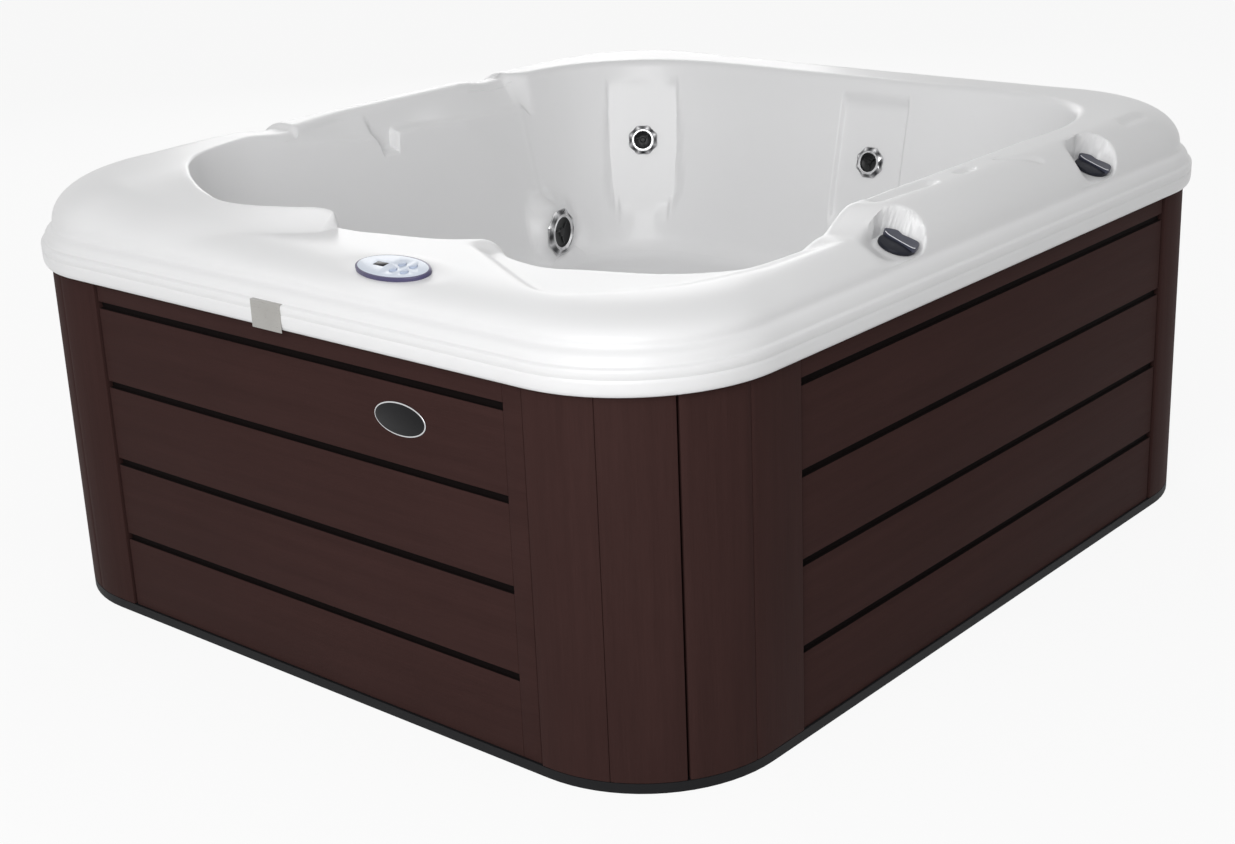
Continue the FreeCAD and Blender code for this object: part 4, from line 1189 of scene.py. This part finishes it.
    def landings(self, point: Vector) -> Vector:
        """Flatten the wall where jets land: recesses for the small ones, a boss for the large one.

        Args:
            point: a point of the plain wall.

        Returns:
            The point of the shaped wall.
        """
        for jet in JETS:
            if (point - jet.centre).length > self.landing_reach:
                continue
            local = jet.matrix().inverted() @ point
            if jet.name == "left":
                mask = 1.0 - ramp(math.hypot(local.x, local.y), *self.boss)
            else:
                side = math.hypot(max(0.0, local.x - self.recess_foot), local.y)
                mask = (1.0 - ramp(side, *self.recess_side)) * (1.0 - ramp(-local.x, *self.recess_top))
            local.z = local.z * (1.0 - mask) - self.landing_gap * mask
            point = jet.matrix() @ local
        return point

    def build(self, finishes: Finishes) -> bpy.types.Object:
        """Make the moulding.

        Args:
            finishes: the tub's finishes.

        Returns:
            The piece.
        """
        columns = self.columns()
        levels = [(zone, step / (count - 1)) for zone, count in self.rows.items() for step in range(count)]
        bm = bmesh.new()
        bmesh.ops.create_grid(bm, x_segments=len(columns), y_segments=len(levels) - 1, size=0.5)
        for vert in bm.verts:
            across = round((vert.co.x + 0.5) * len(columns)) % len(columns)
            zone, share = levels[round((vert.co.y + 0.5) * (len(levels) - 1))]
            vert.co = self.place(zone, columns[across], share)
        bmesh.ops.remove_doubles(bm, verts=bm.verts, dist=0.00002)
        bmesh.ops.recalc_face_normals(bm, faces=bm.faces)
        return to_object(bm, "shell_moulding", [finishes["white_acrylic"]], "tub", ["shell"], 60.0)


def loop_face(bm: bmesh.types.BMesh, points: Iterable[Sequence[float]]) -> bmesh.types.BMFace:
    """Face through a few given corners."""
    return bm.faces.new([bm.verts.new(point) for point in points])


def face_in(geometry: Iterable[object]) -> bmesh.types.BMFace:
    """First face among the parts that an operator hands back."""
    return next(part for part in geometry if isinstance(part, bmesh.types.BMFace))


def pull(bm: bmesh.types.BMesh, faces: Sequence[bmesh.types.BMFace], way: Sequence[float]) -> None:
    """Draw faces out into a solid along a vector.

    Args:
        bm: mesh that holds the faces.
        faces: faces that start the solid.
        way: vector from the first end to the last.
    """
    grown = bmesh.ops.extrude_face_region(bm, geom=faces)["geom"]
    bmesh.ops.translate(bm, verts=[part for part in grown if isinstance(part, bmesh.types.BMVert)], vec=way)


def turned(bm: bmesh.types.BMesh, profile: Sequence[Point], steps: int, closed: bool = True) -> None:
    """Turn a profile round the Z axis.

    Args:
        bm: mesh that receives the turned solid.
        profile: radius and height of each corner.
        steps: faces round the turn.
        closed: join the last corner to the first.
    """
    verts = [bm.verts.new((radius, 0.0, level)) for radius, level in profile]
    pairs = list(zip(verts, verts[1:]))
    if closed:
        pairs.append((verts[-1], verts[0]))
    edges = [bm.edges.new(pair) for pair in pairs]
    bmesh.ops.spin(bm, geom=verts + edges, cent=(0, 0, 0), axis=(0, 0, 1), dvec=(0, 0, 0), angle=math.tau,
                   steps=steps, use_merge=True, use_duplicate=False)
    bmesh.ops.remove_doubles(bm, verts=bm.verts, dist=0.000002)


def placed(bm: bmesh.types.BMesh, matrix: Matrix) -> bmesh.types.BMesh:
    """Move a finished mesh to its place in the tub's frame and turn its faces outwards.

    Args:
        bm: the mesh.
        matrix: its place.

    Returns:
        The same mesh.
    """
    bmesh.ops.transform(bm, matrix=matrix, verts=bm.verts)
    bmesh.ops.recalc_face_normals(bm, faces=bm.faces)
    return bm


def oval(half: Point, segments: int) -> bmesh.types.BMesh:
    """Mesh of one flat oval face about the origin.

    Args:
        half: half width and half height.
        segments: corners round the oval.

    Returns:
        The mesh.
    """
    bm = bmesh.new()
    bmesh.ops.create_circle(bm, cap_ends=True, segments=segments, radius=1.0,
                            matrix=Matrix.Diagonal((*half, 1.0, 1.0)))
    return bm


def soften_node(node: str, width: float, name: str, material: bpy.types.Material,
                body: str = "tub") -> None:
    """Put a merged copy of a CAD node in its place, with its sharp edges broken.

    Args:
        node: name of the node.
        width: width of the bevels.
        name: name of the piece.
        material: its finish.
        body: CAD body that carries the piece.
    """
    bm = bmesh.new()
    bm.from_mesh(frame["nodes"][node].data)
    bmesh.ops.remove_doubles(bm, verts=bm.verts, dist=0.000002)
    bmesh.ops.dissolve_limit(bm, angle_limit=math.radians(0.5), verts=bm.verts, edges=bm.edges)
    soften(bm, width, 40.0)
    to_object(bm, name, [material], body, [node])


@dataclass(frozen=True)
class CornerCut:
    """Boards of a rounded corner: flat runs at both ends, and angles of the split and of both V grooves."""

    flats: Point
    split: float
    vees: Point


@dataclass
class Cabinet:
    """Boarded skirt: four grooved panels and four rounded corners of two boards each."""

    low: float = 0.018
    high: float = 0.700
    thickness: float = 0.020
    groove_levels: tuple[float, ...] = (0.164, 0.320, 0.476, 0.632)
    groove_height: float = 0.013
    groove_depth: float = 0.008
    stile: float = 0.040
    corner_radius: float = 0.262
    board: float = 0.024
    split: float = 0.004
    corner_x: float = 0.573
    corner_y: float = 0.688
    front_start: Triple = (-0.522, -0.946, 0.0)
    right_start: Triple = (0.831, -0.594, 0.0)
    front_width: float = 1.077
    right_width: float = 1.257
    near_cut: CornerCut = CornerCut((0.014, 0.090), 53.3, (25.1, 81.5))
    far_cut: CornerCut = CornerCut((0.021, 0.047), 47.8, (21.6, 74.05))

    def build(self, finishes: Finishes) -> None:
        """Make the panels and the corner boards, each side and corner the half turn of the one across.

        Args:
            finishes: the tub's finishes.
        """
        half_turn = Matrix.Rotation(math.pi, 4, "Z")
        quarter_turn = Matrix.Rotation(math.pi / 2, 4, "Z")
        front = Matrix.Translation(self.front_start)
        right = Matrix.Translation(self.right_start) @ quarter_turn
        for name, width, stile, place, finish in (
                ("front", self.front_width, self.stile, front, "board_along_x"),
                ("right", self.right_width, 0.0, right, "board_along_y"),
                ("back", self.front_width, self.stile, half_turn @ front, "board_along_x"),
                ("left", self.right_width, 0.0, half_turn @ right, "board_along_y")):
            bm = placed(self.panel(width, stile), place)
            to_object(bm, f"grooved_panel_{name}", [finishes[finish], finishes["groove_shadow"]], "tub",
                      [f"panel_{name}"])
        near = Matrix.Translation((self.corner_x, -self.corner_y, 0.0))
        far = Matrix.Translation((self.corner_x, self.corner_y, 0.0)) @ quarter_turn
        gap = math.degrees(self.split / 2 / self.corner_radius)
        for corner, place, cut in (
                ("front_right", near, self.near_cut),
                ("back_right", far, self.far_cut),
                ("back_left", half_turn @ near, self.near_cut),
                ("front_left", half_turn @ far, self.far_cut)):
            for half, start, end, before, after, vee in (
                    ("a", 0.0, cut.split - gap, cut.flats[0], 0.0, cut.vees[0]),
                    ("b", cut.split + gap, 90.0, 0.0, cut.flats[1], cut.vees[1])):
                bm = bmesh.new()
                self.strip(bm, start, vee, before, 0.0)
                self.strip(bm, vee, end, 0.0, after)
                soften(bm, 0.0022, 50.0)
                to_object(placed(bm, place), f"corner_board_{corner}_{half}", [finishes["board_upright"]],
                          "tub", [f"board_{corner}_{half}"])

    def panel(self, width: float, stile: float) -> bmesh.types.BMesh:
        """Draw a grooved panel that faces -Y.

        Args:
            width: width of the panel.
            stile: plain stretch at its right end.

        Returns:
            The panel with its lower left outer corner on the Z axis.
        """
        bm = bmesh.new()
        section = [(0.0, self.thickness, self.low), (0.0, 0.0, self.low)]
        for level in self.groove_levels:
            for depth, offset in ((0.0, -0.5), (1.0, -0.5), (1.0, 0.5), (0.0, 0.5)):
                section.append((0.0, depth * self.groove_depth, level + offset * self.groove_height))
        section += [(0.0, 0.0, self.high), (0.0, self.thickness, self.high)]
        pull(bm, [loop_face(bm, section)], (width - stile, 0.0, 0.0))
        # Faces inside the grooves take the second finish, which is painted shade.
        for face in bm.faces:
            face.material_index = int(0.001 < face.calc_center_median().y < self.thickness - 0.001
                                      and abs(face.normal.x) < 0.5)
        if stile:
            start = width - stile
            edge = [(start, self.thickness, self.low), (start, 0.0, self.low),
                    (start, 0.0, self.high), (start, self.thickness, self.high)]
            pull(bm, [loop_face(bm, edge)], (stile, 0.0, 0.0))
        bmesh.ops.recalc_face_normals(bm, faces=bm.faces)
        soften(bm, 0.0016, 50.0, 3)
        return bm

    def strip(self, bm: bmesh.types.BMesh, start: float, end: float, before: float, after: float) -> None:
        """Bend one strip of a corner board round the Z axis, from the -Y side towards +X.

        Args:
            bm: mesh that receives the strip.
            start: angle in degrees at which it begins.
            end: angle at which it ends.
            before: flat run before the bend.
            after: flat run after it.
        """
        inner = self.corner_radius - self.board
        face = loop_face(bm, ((0.0, -self.corner_radius, self.low), (0.0, -inner, self.low),
                              (0.0, -inner, self.high), (0.0, -self.corner_radius, self.high)))
        bmesh.ops.rotate(bm, verts=face.verts, cent=(0, 0, 0),
                         matrix=Matrix.Rotation(math.radians(start), 3, "Z"))
        if before:
            head = bmesh.ops.extrude_face_region(bm, geom=[face])["geom"]
            bmesh.ops.translate(bm, verts=face.verts, vec=(-before, 0.0, 0.0))
            face = face_in(head)
        swept = bmesh.ops.spin(bm, geom=[face], cent=(0, 0, 0), axis=(0, 0, 1), dvec=(0, 0, 0),
                               angle=math.radians(end - start), steps=max(4, round((end - start) / 3)),
                               use_merge=False, use_duplicate=False)["geom_last"]
        if after:
            pull(bm, [face_in(swept)], (0.0, after, 0.0))
        bmesh.ops.recalc_face_normals(bm, faces=bm.faces)


@dataclass
class JetSet:
    """Three jets: a faceted bright bezel that turns, and a dark nozzle that spins in it."""

    facets: int = 8
    steps: int = 96
    seat: float = 0.0003
    height: float = 0.009

    def build(self, finishes: Finishes) -> None:
        """Make a bezel and a nozzle for every jet.

        Args:
            finishes: the tub's finishes.
        """
        for jet in JETS:
            bezel = placed(self.bezel(jet), jet.matrix())
            to_object(bezel, f"bezel_{jet.name}", [finishes["faceted_chrome"]], f"jet_{jet.name}_bezel",
                      [f"jet_{jet.name}_bezel"], 28.0)
            nozzle = placed(self.nozzle(jet.mouth - 0.0006), jet.matrix())
            to_object(nozzle, f"nozzle_{jet.name}", [finishes["nozzle_black"]], f"jet_{jet.name}_nozzle",
                      [f"jet_{jet.name}_nozzle"])

    def bezel(self, jet: JetSpot) -> bmesh.types.BMesh:
        """Turn the bezel, then press its facets in.

        Args:
            jet: the jet that it belongs to.

        Returns:
            The bezel on the Z axis, with an attribute that marks the painted dark reflection on the facets.
        """
        bm = bmesh.new()
        radius, mouth, top = jet.radius, jet.mouth, self.seat + self.height
        band = radius - mouth
        profile = [(mouth, self.seat), (radius - 0.0010, self.seat), (radius, self.seat + 0.0012),
                   (radius - 0.0004, self.seat + 0.0030), (radius - 0.10 * band, self.seat + 0.0052),
                   (radius - 0.28 * band, self.seat + 0.0072), (radius - 0.48 * band, top - 0.0006),
                   (radius - 0.62 * band, top), (radius - 0.72 * band, top - 0.0004),
                   (radius - 0.78 * band, top - 0.0018), (radius - 0.84 * band, top - 0.0018),
                   (radius - 0.89 * band, top - 0.0003), (radius - 0.95 * band, top - 0.0004),
                   (mouth, top - 0.0018), (mouth, top - 0.0040)]
        turned(bm, profile, self.steps)
        # Mask of the painted dark reflection, on the slopes of the facets.
        facet = bm.verts.layers.float.new("facet")
        for vert in bm.verts:
            reach = math.hypot(vert.co.x, vert.co.y)
            share = ramp(reach, radius - 0.52 * band, radius - 0.12 * band)
            turn = math.atan2(vert.co.y, vert.co.x) * self.facets
            press = (0.5 + 0.5 * math.cos(turn)) ** 0.7 * share
            vert.co.xy *= 1.0 - 0.075 * press
            if vert.co.z > self.seat + 0.002:
                vert.co.z -= 0.0022 * press
            slope = ramp(reach, radius - 0.74 * band, radius - 0.60 * band)
            rim = 1.0 - ramp(reach, radius - 0.0012, radius)
            vert[facet] = slope * rim * math.sqrt(0.5 + 0.5 * math.cos(turn))
        return bm

    def nozzle(self, radius: float) -> bmesh.types.BMesh:
        """Dished face with a hub and three vanes.

        Args:
            radius: radius of the face.

        Returns:
            The nozzle on the Z axis.
        """
        bm = bmesh.new()
        low = self.seat + 0.0004
        turned(bm, [(0.0, low), (radius, low), (radius, low + 0.0046), (radius - 0.0012, low + 0.0054),
                    (radius * 0.86, low + 0.0040), (radius * 0.55, low + 0.0016),
                    (radius * 0.34, low + 0.0018), (radius * 0.24, low + 0.0046), (0.0, low + 0.0052)],
               48, closed=False)
        for number in range(3):
            vane = (Matrix.Rotation(math.tau * number / 3, 4, "Z")
                    @ Matrix.Translation((radius * 0.54, radius * 0.10, low + 0.0027))
                    @ Matrix.Rotation(0.35, 4, "Z")
                    @ Matrix.Diagonal((radius * 0.66, radius * 0.17, 0.0034, 1.0)))
            made = bmesh.ops.create_cube(bm, size=1.0, matrix=vane)["verts"]
            bevel(bm, {edge for vert in made for edge in vert.link_edges}, radius * 0.05, 2)
        return bm


@dataclass
class ValveSet:
    """Two wing handles in the pockets of the right rim."""

    lean: float = 20.0
    skirt: float = 0.033
    rise: float = 0.008
    plate_height: float = 0.008
    plate: tuple[Point, ...] = (
        (-0.037, 0.012), (-0.024, -0.001), (-0.004, -0.003), (0.018, -0.003), (0.033, 0.000), (0.033, 0.014),
        (0.024, 0.028), (0.009, 0.028), (-0.006, 0.024), (-0.022, 0.028))

    def build(self, finishes: Finishes) -> None:
        """Make both handles.

        Args:
            finishes: the tub's finishes.
        """
        lean = Matrix.Rotation(math.radians(self.lean), 4, "Y")
        for end, spot in VALVES.items():
            bm = placed(self.handle(), Matrix.Translation(spot) @ lean)
            to_object(bm, f"wing_handle_{end}",
                      [finishes["valve_slate"], finishes["valve_shadow"], finishes["ridge_line"]],
                      f"valve_{end}_handle", [f"valve_{end}_handle"])

    def handle(self) -> bmesh.types.BMesh:
        """Round skirt with a bird shaped grip plate on its far half.

        Returns:
            The handle on the Z axis, its skirt in the second finish, a painted shade, and a painted highlight
            along the plate's front edge in the third.
        """
        bm = bmesh.new()
        turned(bm, [(0.0, 0.0006), (self.skirt - 0.001, 0.0006), (self.skirt, 0.0016), (self.skirt, 0.0050),
                    (self.skirt - 0.0012, 0.0072), (self.skirt - 0.0045, self.rise + 0.0004),
                    (self.skirt * 0.55, self.rise + 0.0022), (0.0, self.rise + 0.0028)], 64, closed=False)
        # The skirt takes the second finish, painted shade in a darker slate.
        for face in bm.faces:
            face.material_index = 1
        low = loop_face(bm, [(x, y, self.rise - 0.002) for x, y in smooth_loop(self.plate, 8)])
        crown = face_in(bmesh.ops.extrude_face_region(bm, geom=[low])["geom"])
        bmesh.ops.translate(bm, verts=crown.verts, vec=(0.0, 0.0, self.plate_height))
        edge = bmesh.ops.inset_region(bm, faces=[crown], thickness=0.0012, depth=0.0008, use_boundary=True,
                                      use_even_offset=True)["faces"]
        # The near faces of the inset band take the pale painted highlight.
        for face in edge:
            if face.calc_center_median().y < 0.003:
                face.material_index = 2
        return bm


@dataclass
class TopsideControl:
    """Oval control: violet housing, pale overlay, dark display and four push pads."""

    half: Point = CONTROL_HALF
    side: float = 0.0066
    crown: float = 0.0016
    pads: int = 4

    def build(self, finishes: Finishes) -> None:
        """Make the housing, and soften the overlay, the display and the pads.

        Args:
            finishes: the tub's finishes.
        """
        bm = oval(self.half, 128)
        pull(bm, bm.faces[:], (0.0, 0.0, self.side))
        bmesh.ops.recalc_face_normals(bm, faces=bm.faces)
        bevel(bm, [edge for edge in bm.edges if all(vert.co.z > 0.5 * self.side for vert in edge.verts)],
              self.crown, 3)
        to_object(placed(bm, CONTROL), "control_ring", [finishes["control_violet"]], "tub",
                  ["control_housing"])
        soften_node("control_face", 0.0004, "control_overlay", finishes["control_overlay"])
        soften_node("control_display", 0.0003, "control_window", finishes["display_window"])
        for number in range(1, self.pads + 1):
            button = f"control_button_{number}"
            soften_node(button, 0.0008, f"push_pad_{number}", finishes["button_pad"], button)


@dataclass
class Trim:
    """Bare oval badge on the front panel and the bare folded plate on the rim."""

    centre: Triple = (0.281, -0.946, 0.565)
    half: Point = (0.060, 0.0295)
    ring: float = 0.005
    bright: float = 0.0024
    proud: float = 0.003
    segments: int = 96

    def build(self, finishes: Finishes) -> None:
        """Make the badge and soften the plate.

        Args:
            finishes: the tub's finishes.
        """
        upright = Matrix.Translation(self.centre) @ Matrix.Rotation(math.pi / 2, 4, "X")
        bm = oval(self.half, self.segments)
        bmesh.ops.inset_region(bm, faces=bm.faces[:], thickness=self.ring, depth=0.0, use_boundary=True,
                               use_even_offset=True)
        bmesh.ops.delete(bm, geom=[max(bm.faces, key=lambda face: len(face.verts))], context="FACES_ONLY")
        pull(bm, bm.faces[:], (0.0, 0.0, 0.8 * self.proud))
        bmesh.ops.recalc_face_normals(bm, faces=bm.faces)
        soften(bm, 0.0008, 50.0, 3)
        to_object(placed(bm, upright), "badge_ring_bright", [finishes["chrome_plate"]], "tub",
                  ["badge_ring"])
        bm = oval((self.half[0] - self.bright, self.half[1] - self.bright), self.segments)
        pull(bm, bm.faces[:], (0.0, 0.0, self.proud))
        bmesh.ops.recalc_face_normals(bm, faces=bm.faces)
        soften(bm, 0.0005, 50.0)
        to_object(placed(bm, upright), "badge_enamel", [finishes["badge_enamel"]], "tub",
                  ["badge_plate"])
        soften_node("rim_plate", 0.0004, "folded_plate", finishes["brushed_sheet"])


@dataclass
class WallFittings:
    """Drain cap with its finger ribs and the cable gland, at the foot of the back panel."""

    cap: Triple = (-0.120, 0.9463, 0.090)
    cap_radius: float = 0.021
    cap_depth: float = 0.016
    thread: float = 0.0172
    ribs: int = 20

    def build(self, finishes: Finishes) -> None:
        """Make the cap and soften the gland.

        Args:
            finishes: the tub's finishes.
        """
        bm = bmesh.new()
        radius, depth = self.cap_radius, self.cap_depth
        profile = [(self.thread, 0.0), (radius, 0.0), (radius, depth - 0.0020),
                   (radius - 0.0014, depth - 0.0004), (radius - 0.0035, depth), (radius * 0.62, depth),
                   (radius * 0.56, depth - 0.0012), (0.0, depth - 0.0012), (0.0, depth - 0.0035),
                   (self.thread, depth - 0.0035)]
        turned(bm, profile, self.ribs * 4)
        for vert in bm.verts:
            if math.hypot(vert.co.x, vert.co.y) > radius - 0.0016 and vert.co.z < depth - 0.001:
                turn = math.atan2(vert.co.y, vert.co.x) * self.ribs
                vert.co.xy *= 1.0 - 0.035 * (0.5 + 0.5 * math.cos(turn))
        upright = Matrix.Translation(self.cap) @ Matrix.Rotation(-math.pi / 2, 4, "X")
        to_object(placed(bm, upright), "ribbed_drain_cap", [finishes["wet_end_black"]], "drain_cap",
                  ["drain_cap"])
        soften_node("cable_gland", 0.0008, "cord_gland", finishes["wet_end_black"])


@dataclass
class WaterPlant:
    """CAD pieces that keep their own shape and only take a finish."""

    finishes_of: dict[str, str] = field(default_factory=lambda: {
        "acrylic": "white_acrylic", "cabinet_board": "board_upright", "base_black": "base_black",
        "timber": "timber_along_x", "zinc": "zinc_plate", "chrome": "chrome_plate",
        "stainless": "brushed_sheet", "badge_black": "badge_enamel", "control_grey": "control_violet",
        "control_face": "control_overlay", "display_dark": "display_window", "valve_slate": "valve_slate",
        "nozzle_black": "nozzle_black", "pipe_white": "pipe_white", "hose_clear": "hose_vinyl",
        "motor_case": "motor_casting", "wet_end_black": "wet_end_black", "heater_steel": "heater_steel",
        "pack_grey": "pack_grey", "foam": "insulation_foam"})
    cross_grained: tuple[str, ...] = ("frame_right", "frame_left")

    def dress(self, finishes: Finishes) -> None:
        """Give every CAD node the finish of its slot.

        Args:
            finishes: the tub's finishes.
        """
        slots = {entry["node"]: entry["material_slot"] for entry in frame["record"]["subparts"]}
        for node, slot in slots.items():
            finish = "timber_along_y" if node in self.cross_grained else self.finishes_of[slot]
            dress_node(node, finishes[finish])
            LOG.info("%s: CAD solid in %s", node, finish)


@dataclass(frozen=True)
class Softbox:
    """Square lamp: where it hangs, the point that it faces, its side and its watts."""

    name: str
    place: Triple
    target: Triple
    size: float
    power: float

    def hang(self) -> None:
        """Make the lamp."""
        light = bpy.data.lights.new(self.name, "AREA")
        light.shape = "SQUARE"
        light.size = self.size
        light.energy = self.power
        lamp = bpy.data.objects.new(self.name, light)
        lamp.location = self.place
        facing = Vector(self.target) - Vector(self.place)
        lamp.rotation_euler = facing.to_track_quat("-Z", "Y").to_euler()
        bpy.context.scene.collection.objects.link(lamp)


@dataclass
class Studio:
    """Camera of the photograph, pale floor and soft lamps."""

    position: Triple = (2.58629, -3.05940, 1.65098)
    azimuth: float = 40.990
    elevation: float = 19.602
    roll: float = -2.381
    lens: float = 58.72
    sensor: float = 36.0
    sky: float = 0.33
    floor_colour: Colour = (0.90, 0.90, 0.90)
    floor_white: float = 0.90
    floor_radius: float = 30.0
    lamps: tuple[Softbox, ...] = (
        Softbox("key_softbox", (1.9, -4.3, 2.6), (0.0, -0.3, 0.6), 3.4, 132.0),
        Softbox("top_softbox", (0.9, -1.5, 3.4), (0.5, -0.9, 0.8), 1.6, 6.5),
        Softbox("side_softbox", (3.6, 0.0, 4.0), (-0.4, 0.0, 0.6), 3.0, 8.0),
        Softbox("back_softbox", (-3.5, 3.4, 2.4), (0.0, 0.4, 0.5), 3.0, 44.0))

    def build(self) -> None:
        """Set up camera, floor, lamps and world."""
        self.camera()
        self.floor()
        for lamp in self.lamps:
            lamp.hang()
        self.world()
        bpy.context.scene.view_settings.view_transform = "Standard"

    def camera(self) -> None:
        """Stand the camera where the photograph was taken."""
        azimuth, elevation, roll = (math.radians(turn) for turn in (self.azimuth, self.elevation, self.roll))
        back = Vector((math.sin(azimuth) * math.cos(elevation), -math.cos(azimuth) * math.cos(elevation),
                       math.sin(elevation)))
        right = Vector((math.cos(azimuth), math.sin(azimuth), 0.0))
        up = back.cross(right)
        across = right * math.cos(roll) + up * math.sin(roll)
        upward = up * math.cos(roll) - right * math.sin(roll)
        camera = bpy.data.cameras.new("photo_camera")
        camera.lens = self.lens
        camera.sensor_width = self.sensor
        camera.sensor_fit = "HORIZONTAL"
        stand = bpy.data.objects.new("photo_camera", camera)
        stand.matrix_world = Matrix.Translation(self.position) @ Matrix(
            (across, upward, back)).transposed().to_4x4()
        bpy.context.scene.collection.objects.link(stand)
        bpy.context.scene.camera = stand

    def floor(self) -> None:
        """Lay a plain pale floor under the tub."""
        bm = bmesh.new()
        bmesh.ops.create_circle(bm, cap_ends=True, segments=96, radius=self.floor_radius)
        mesh = bpy.data.meshes.new("studio_floor")
        bm.to_mesh(mesh)
        bm.free()
        shader = Shader("pale_floor")
        shader.set(Base_Color=self.floor_colour, Roughness=0.9, Specular_IOR_Level=0.1)
        white = shader.node("ShaderNodeEmission", sockets={"Color": (1.0, 1.0, 1.0, 1.0), "Strength": 1.0})
        shader.show(shader.node("ShaderNodeMixShader", sockets={
            0: shader.in_view() * self.floor_white, 1: shader.principled, 2: white}))
        mesh.materials.append(shader.material)
        floor = bpy.data.objects.new("studio_floor", mesh)
        bpy.context.scene.collection.objects.link(floor)

    def world(self) -> None:
        """White to the camera and in reflections, an even pale light for the rest."""
        world = bpy.data.worlds.new("studio_sky")
        world.use_nodes = True
        nodes = NodeTree(world.node_tree)
        sky = nodes.node("ShaderNodeBackground", sockets={
            "Color": (1.0, 1.0, 1.0, 1.0), "Strength": self.sky + nodes.in_view() * (1.0 - self.sky)})
        nodes.node("ShaderNodeOutputWorld", sockets={"Surface": sky})
        bpy.context.scene.world = world


def main() -> None:
    """Build the dressed tub, piece by piece."""
    logging.basicConfig(level=logging.INFO, format="%(name)s %(message)s")
    finishes = Finishes()
    WaterPlant().dress(finishes)
    ShellMoulding().build(finishes)
    for assembly in (Cabinet(), JetSet(), ValveSet(), TopsideControl(), Trim(), WallFittings()):
        assembly.build(finishes)
    Studio().build()


if __name__ == "__main__":
    main()
